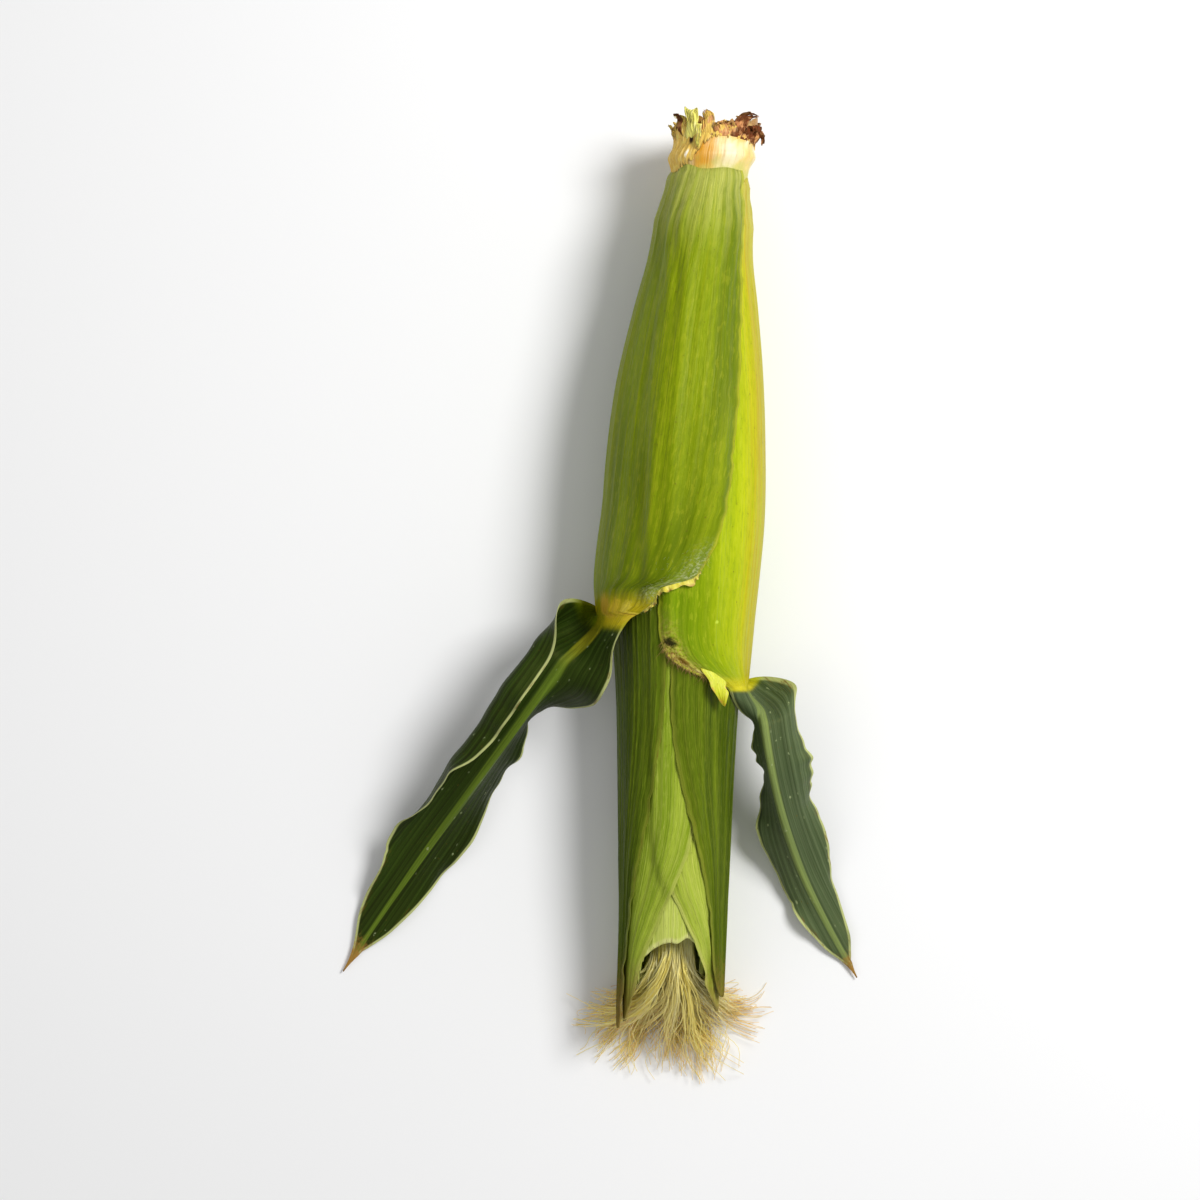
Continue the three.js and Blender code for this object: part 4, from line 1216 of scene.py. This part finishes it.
def hairs_on(name, leaf, along, u, fades, aim, material, **sizes):
    """Hairs on the part of a leaf that along and u, as (first, last, count), span. They thin out over
    each fade, a (from, to) along it. aim is (round, onward, out)."""
    along, u = np.broadcast_arrays(lengthwise(*along), crosswise(*u))
    density = smooth(0.6, 0.8, np.abs(u)) * math.prod(smooth(*fade, along) for fade in fades)
    here = on_leaf(leaf, along, u, 0.0)
    onward = unit(on_leaf(leaf, along + 0.5, u, 0.0) - here)
    out = unit(on_leaf(leaf, along, u, 1.0) - here)
    way = unit(np.cross(onward, out) * aim[0] + onward * aim[1] + out * aim[2])
    faces = quads_of(np.arange(along.size).reshape(along.shape)).tolist()
    patch = new_mesh(name, here.reshape(-1, 3), faces, density=density.ravel(), aim=way.reshape(-1, 3))
    return finished(name, patch, hair_tree(), Material=material, **sizes)


def ligule_frill(name, leaf, along, height, material, rows=14, columns=160):
    """A ragged thin skin that stands on the mouth of a sheath, along its margin."""
    e, at = lengthwise(0, 1, rows), crosswise(0, 1, columns)
    jag = np.clip(0.75 + 0.6 * ripple(at * 2.2, 51) + 0.14 * ripple(at * 8, 52), 0.08, 1.9)
    tall = height * jag * smooth(0, 0.1, at) * smooth(1, 0.9, at)
    foot = mix(*along, at)
    angle, _, outer, _ = surface(leaf, foot, np.ones_like(foot))
    lie = outer - 0.15 + e * tall * (0.55 + 0.35 * ripple(at * 8, 53))
    on = foot - 0.4 + e * tall * (0.9 + 0.3 * ripple(at * 6, 54))
    turn = angle + e * tall * (0.8 + 0.5 * ripple(at * 7, 55))
    return sheet(name, ring(on, turn, lie), ring(on, turn, lie + mix(0.3, 0.1, e)), material,
                 across=at * 40, along=on, edge=(1 - e) * tall)


def yellow_lobe(name, leaf, base, tip, half_width, material, rows=50, columns=50):
    """A pointed ear-shaped lobe at the corner of a blade's foot. base and tip are (along, angle)."""
    u, v = crosswise(-1, 1, columns), lengthwise(0, 1, rows)
    narrow = half_width * (1 - v**1.25) ** 0.8 * (1 + 0.1 * ripple(v * 2, 63)) + 0.3
    angle = mix(base[1], tip[1], v**1.5) + u * narrow
    along = mix(base[0], tip[0], v) + 2.2 * u * (1 - v) ** 1.5 + 0.5 * u**2
    cup = 0.8 * u**2 * smooth(0, 0.4, v) + 0.25 * ripple(u * 1.5 + v, 61) * v
    lie = layer_radius(leaf, 0 * along + base[0], angle) + 0.6 + 1.1 * np.sin(v * 2.6) + cup
    thick = mix(0.12, 0.6, (1 - u**2) ** 0.7 * (1 - v**4))
    return sheet(name, ring(along, angle, lie), ring(along, angle, lie + thick), material,
                 across=u * 6, along=along, edge=(1 - np.abs(u)) * 5 * (1 - v))


# --- the pieces ---

CREAM, STRAW = rgb(222, 214, 136), rgb(206, 204, 112)
# dark, light, streak and margin of the husk leaves, from the innermost out.
GREENS = [
    (rgb(134, 156, 34), rgb(178, 192, 74), rgb(154, 176, 48), rgb(206, 208, 112)),
    (rgb(116, 140, 26), rgb(164, 182, 60), rgb(138, 162, 36), rgb(196, 200, 100)),
    (rgb(56, 76, 4), rgb(98, 118, 16), rgb(78, 98, 8), rgb(140, 148, 46)),
    (rgb(48, 68, 4), rgb(88, 108, 12), rgb(68, 90, 6), rgb(130, 140, 42)),
    (rgb(56, 76, 4), rgb(98, 118, 16), rgb(78, 98, 8), rgb(140, 148, 46)),
]
LEFT_BLADE = dict(
    dark=rgb(14, 26, 3), light=rgb(36, 56, 10), vein=rgb(62, 84, 26), rib=rgb(92, 114, 32),
    fleck=rgb(160, 172, 124), edge=rgb(182, 188, 122), collar=rgb(196, 176, 24),
    down=rgb(112, 126, 76), dots=rgb(176, 184, 132),
)
RIGHT_BLADE = dict(
    dark=rgb(50, 64, 38), light=rgb(80, 96, 62), vein=rgb(112, 126, 88), rib=rgb(124, 140, 76),
    fleck=LEFT_BLADE["fleck"], edge=LEFT_BLADE["edge"], collar=rgb(206, 196, 34),
    down=rgb(184, 164, 86), dots=rgb(112, 76, 30),
)


def flag_leaves():
    right = leaf_material(
        "flag_leaf_right", 31, rgb(108, 136, 4), rgb(140, 164, 8), rgb(156, 176, 10), rgb(190, 196, 50),
        # A painted highlight: a lighter yellow band along the lit side of the sheath.
        STRAW, 62, keel=(10, 5, rgb(178, 148, 30)), painted_light_band=(-17, -9, rgb(190, 198, 12)), stripes=0.5,
        blade=RIGHT_BLADE, spots=[
            (-21.7, 163.2, 1.9, rgb(16, 10, 5)), (-13.1, 157, 0.6, rgb(184, 204, 60)),
            (-21.4, 169, 1.5, rgb(112, 84, 28)), (-21.0, 172.5, 1.2, rgb(196, 178, 110)),
        ],
    )
    left = leaf_material(
        "flag_leaf_left", 37, rgb(88, 108, 2), rgb(126, 144, 6), rgb(100, 120, 4), rgb(166, 168, 36),
        STRAW, 56, keel=(4.5, 0.8, rgb(126, 136, 24)), blade=LEFT_BLADE, stripes=0.65, spots=[
            (6, 152.2, 4.4, rgb(192, 158, 50)), (12, 153, 4.0, rgb(218, 190, 52)),
            (17, 153, 3.0, rgb(228, 208, 72)), (14, 155, 1.2, rgb(146, 98, 30)),
        ],
    )
    return {"flag_leaf_right": flag_leaf(RIGHT_FLAG, right), "flag_leaf_left": flag_leaf(LEFT_FLAG, left)}


def flag_leaf_trim():
    """The down, the fringes of hairs, the ligule and the yellow lobe."""
    pale_hair = hair_material("down_hair", rgb(126, 140, 72), rgb(196, 200, 148))
    rust_hair = hair_material("rust_hair", rgb(188, 160, 84), rgb(128, 84, 38))
    ligule = skin_material("ligule", rgb(228, 216, 104), rgb(206, 194, 48), rgb(170, 122, 50))
    lobe = skin_material("lobe", rgb(216, 216, 60), rgb(190, 198, 24), rgb(200, 150, 60), 0.4)
    return [
        hairs_on("left_down", LEFT_FLAG, (132, 151, 40), (0.6, 0.97, 30), [(132, 142), (151, 147)],
                 (0.2, 1, 0.35), pale_hair, Density=1.3e6, Shortest=0.0004, Longest=0.0010, Lean=0.75,
                 Spread=0.35, Radius=0.00004, Seed=3),
        ligule_frill("left_ligule", LEFT_FLAG, (141.5, 154), 1.9, ligule),
        yellow_lobe("right_lobe", RIGHT_FLAG, (172.8, 28), (182.4, 36), 10.5, lobe),
        hairs_on("left_fringe", LEFT_FLAG, (134, 154, 70), (0.972, 1.0, 5), [(134, 143)],
                 (-0.7, 0.8, 0.35), pale_hair, Density=7e6, Shortest=0.0008, Longest=0.0020, Lean=0.85,
                 Spread=0.45, Radius=0.00004, Seed=5),
        hairs_on("right_fringe", RIGHT_FLAG, (158, 177, 70), (-1.0, -0.93, 8), [(162, 168), (177, 173)],
                 (0.8, 0.7, 0.35), rust_hair, Density=9e6, Shortest=0.0006, Longest=0.0032, Lean=0.85,
                 Spread=0.6, Radius=0.00008, Seed=7),
    ]


def main():
    inner = leaf_material(
        "inner_husk", 1, rgb(158, 176, 54), rgb(204, 212, 108), rgb(184, 200, 84), rgb(220, 222, 140),
        CREAM, -100,
    )
    pieces = {"inner_husk": inner_husk(inner)}
    for leaf, greens in zip(LONG_LEAVES, GREENS):
        material = leaf_material(leaf["name"], 10 + leaf["level"], *greens, STRAW, dry=0.75)
        pieces[leaf["name"]] = long_leaf(leaf, material)
    pieces.update(flag_leaves())
    pieces["shank"] = shank(stalk_material())
    pieces["torn_sheath"], *tatters = torn_sheath(rag_material())
    mouth_leaves = [
        mouth_leaf(f"mouth_leaf_{i}", *sizes, inner)
        for i, sizes in enumerate([(170, 250, 0.86, 2.5), (-120, 200, 0.78, 5), (95, 150, 0.7, 3.5)], 1)
    ]
    extras = {"torn_sheath": tatters, "inner_husk": mouth_leaves, "flag_leaf": flag_leaf_trim()}
    for name, group in extras.items():
        for piece in group:
            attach(piece, "root")

    empty = bpy.data.meshes.new("empty")
    pieces["silk"] = finished("silk_strands", empty, silk_tree(), Material=silk_material())
    slots = {leaf["name"]: "husk_leaf" for leaf in LONG_LEAVES}
    slots.update(flag_leaf_left="flag_leaf", flag_leaf_right="flag_leaf")
    for node, piece in pieces.items():
        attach(piece, "root")
        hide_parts(node)


main()

# --- floor, light and camera ---

corners = np.array([(-3, -3, -0.0002), (3, -3, -0.0002), (3, 3, -0.0002), (-3, 3, -0.0002)])
floor_mesh = new_mesh("floor", corners, [(0, 1, 2, 3)])
floor_paint, _, _ = new_material("floor", Base_Color=(0.86, 0.86, 0.86, 1), Roughness=0.9)
floor_mesh.materials.append(floor_paint)
floor = add_object("floor", floor_mesh)

world = bpy.data.worlds.new("world")
bpy.context.scene.world = world
world.use_nodes = True
world.node_tree.nodes["Background"].inputs["Color"].default_value = (1, 1, 1, 1)
world.node_tree.nodes["Background"].inputs["Strength"].default_value = 0.42


def area_light(name, location, size, power):
    """A round light that looks at the middle of the frame."""
    data = bpy.data.lights.new(name, "AREA")
    data.shape, data.size, data.energy = "DISK", size, power
    light = add_object(name, data)
    light.location = location
    light.rotation_euler = (-Vector(location)).to_track_quat("-Z", "Y").to_euler()


area_light("key", (0.55, 0.34, 0.80), 0.4, 9.5)
area_light("fill", (-0.6, -0.3, 0.8), 0.9, 1.0)

camera_data = bpy.data.cameras.new("camera")
camera_data.lens = 120
camera = add_object("camera", camera_data)
camera.location = (0, 0, 1.27)
bpy.context.scene.camera = camera
bpy.context.scene.view_settings.view_transform = "Standard"
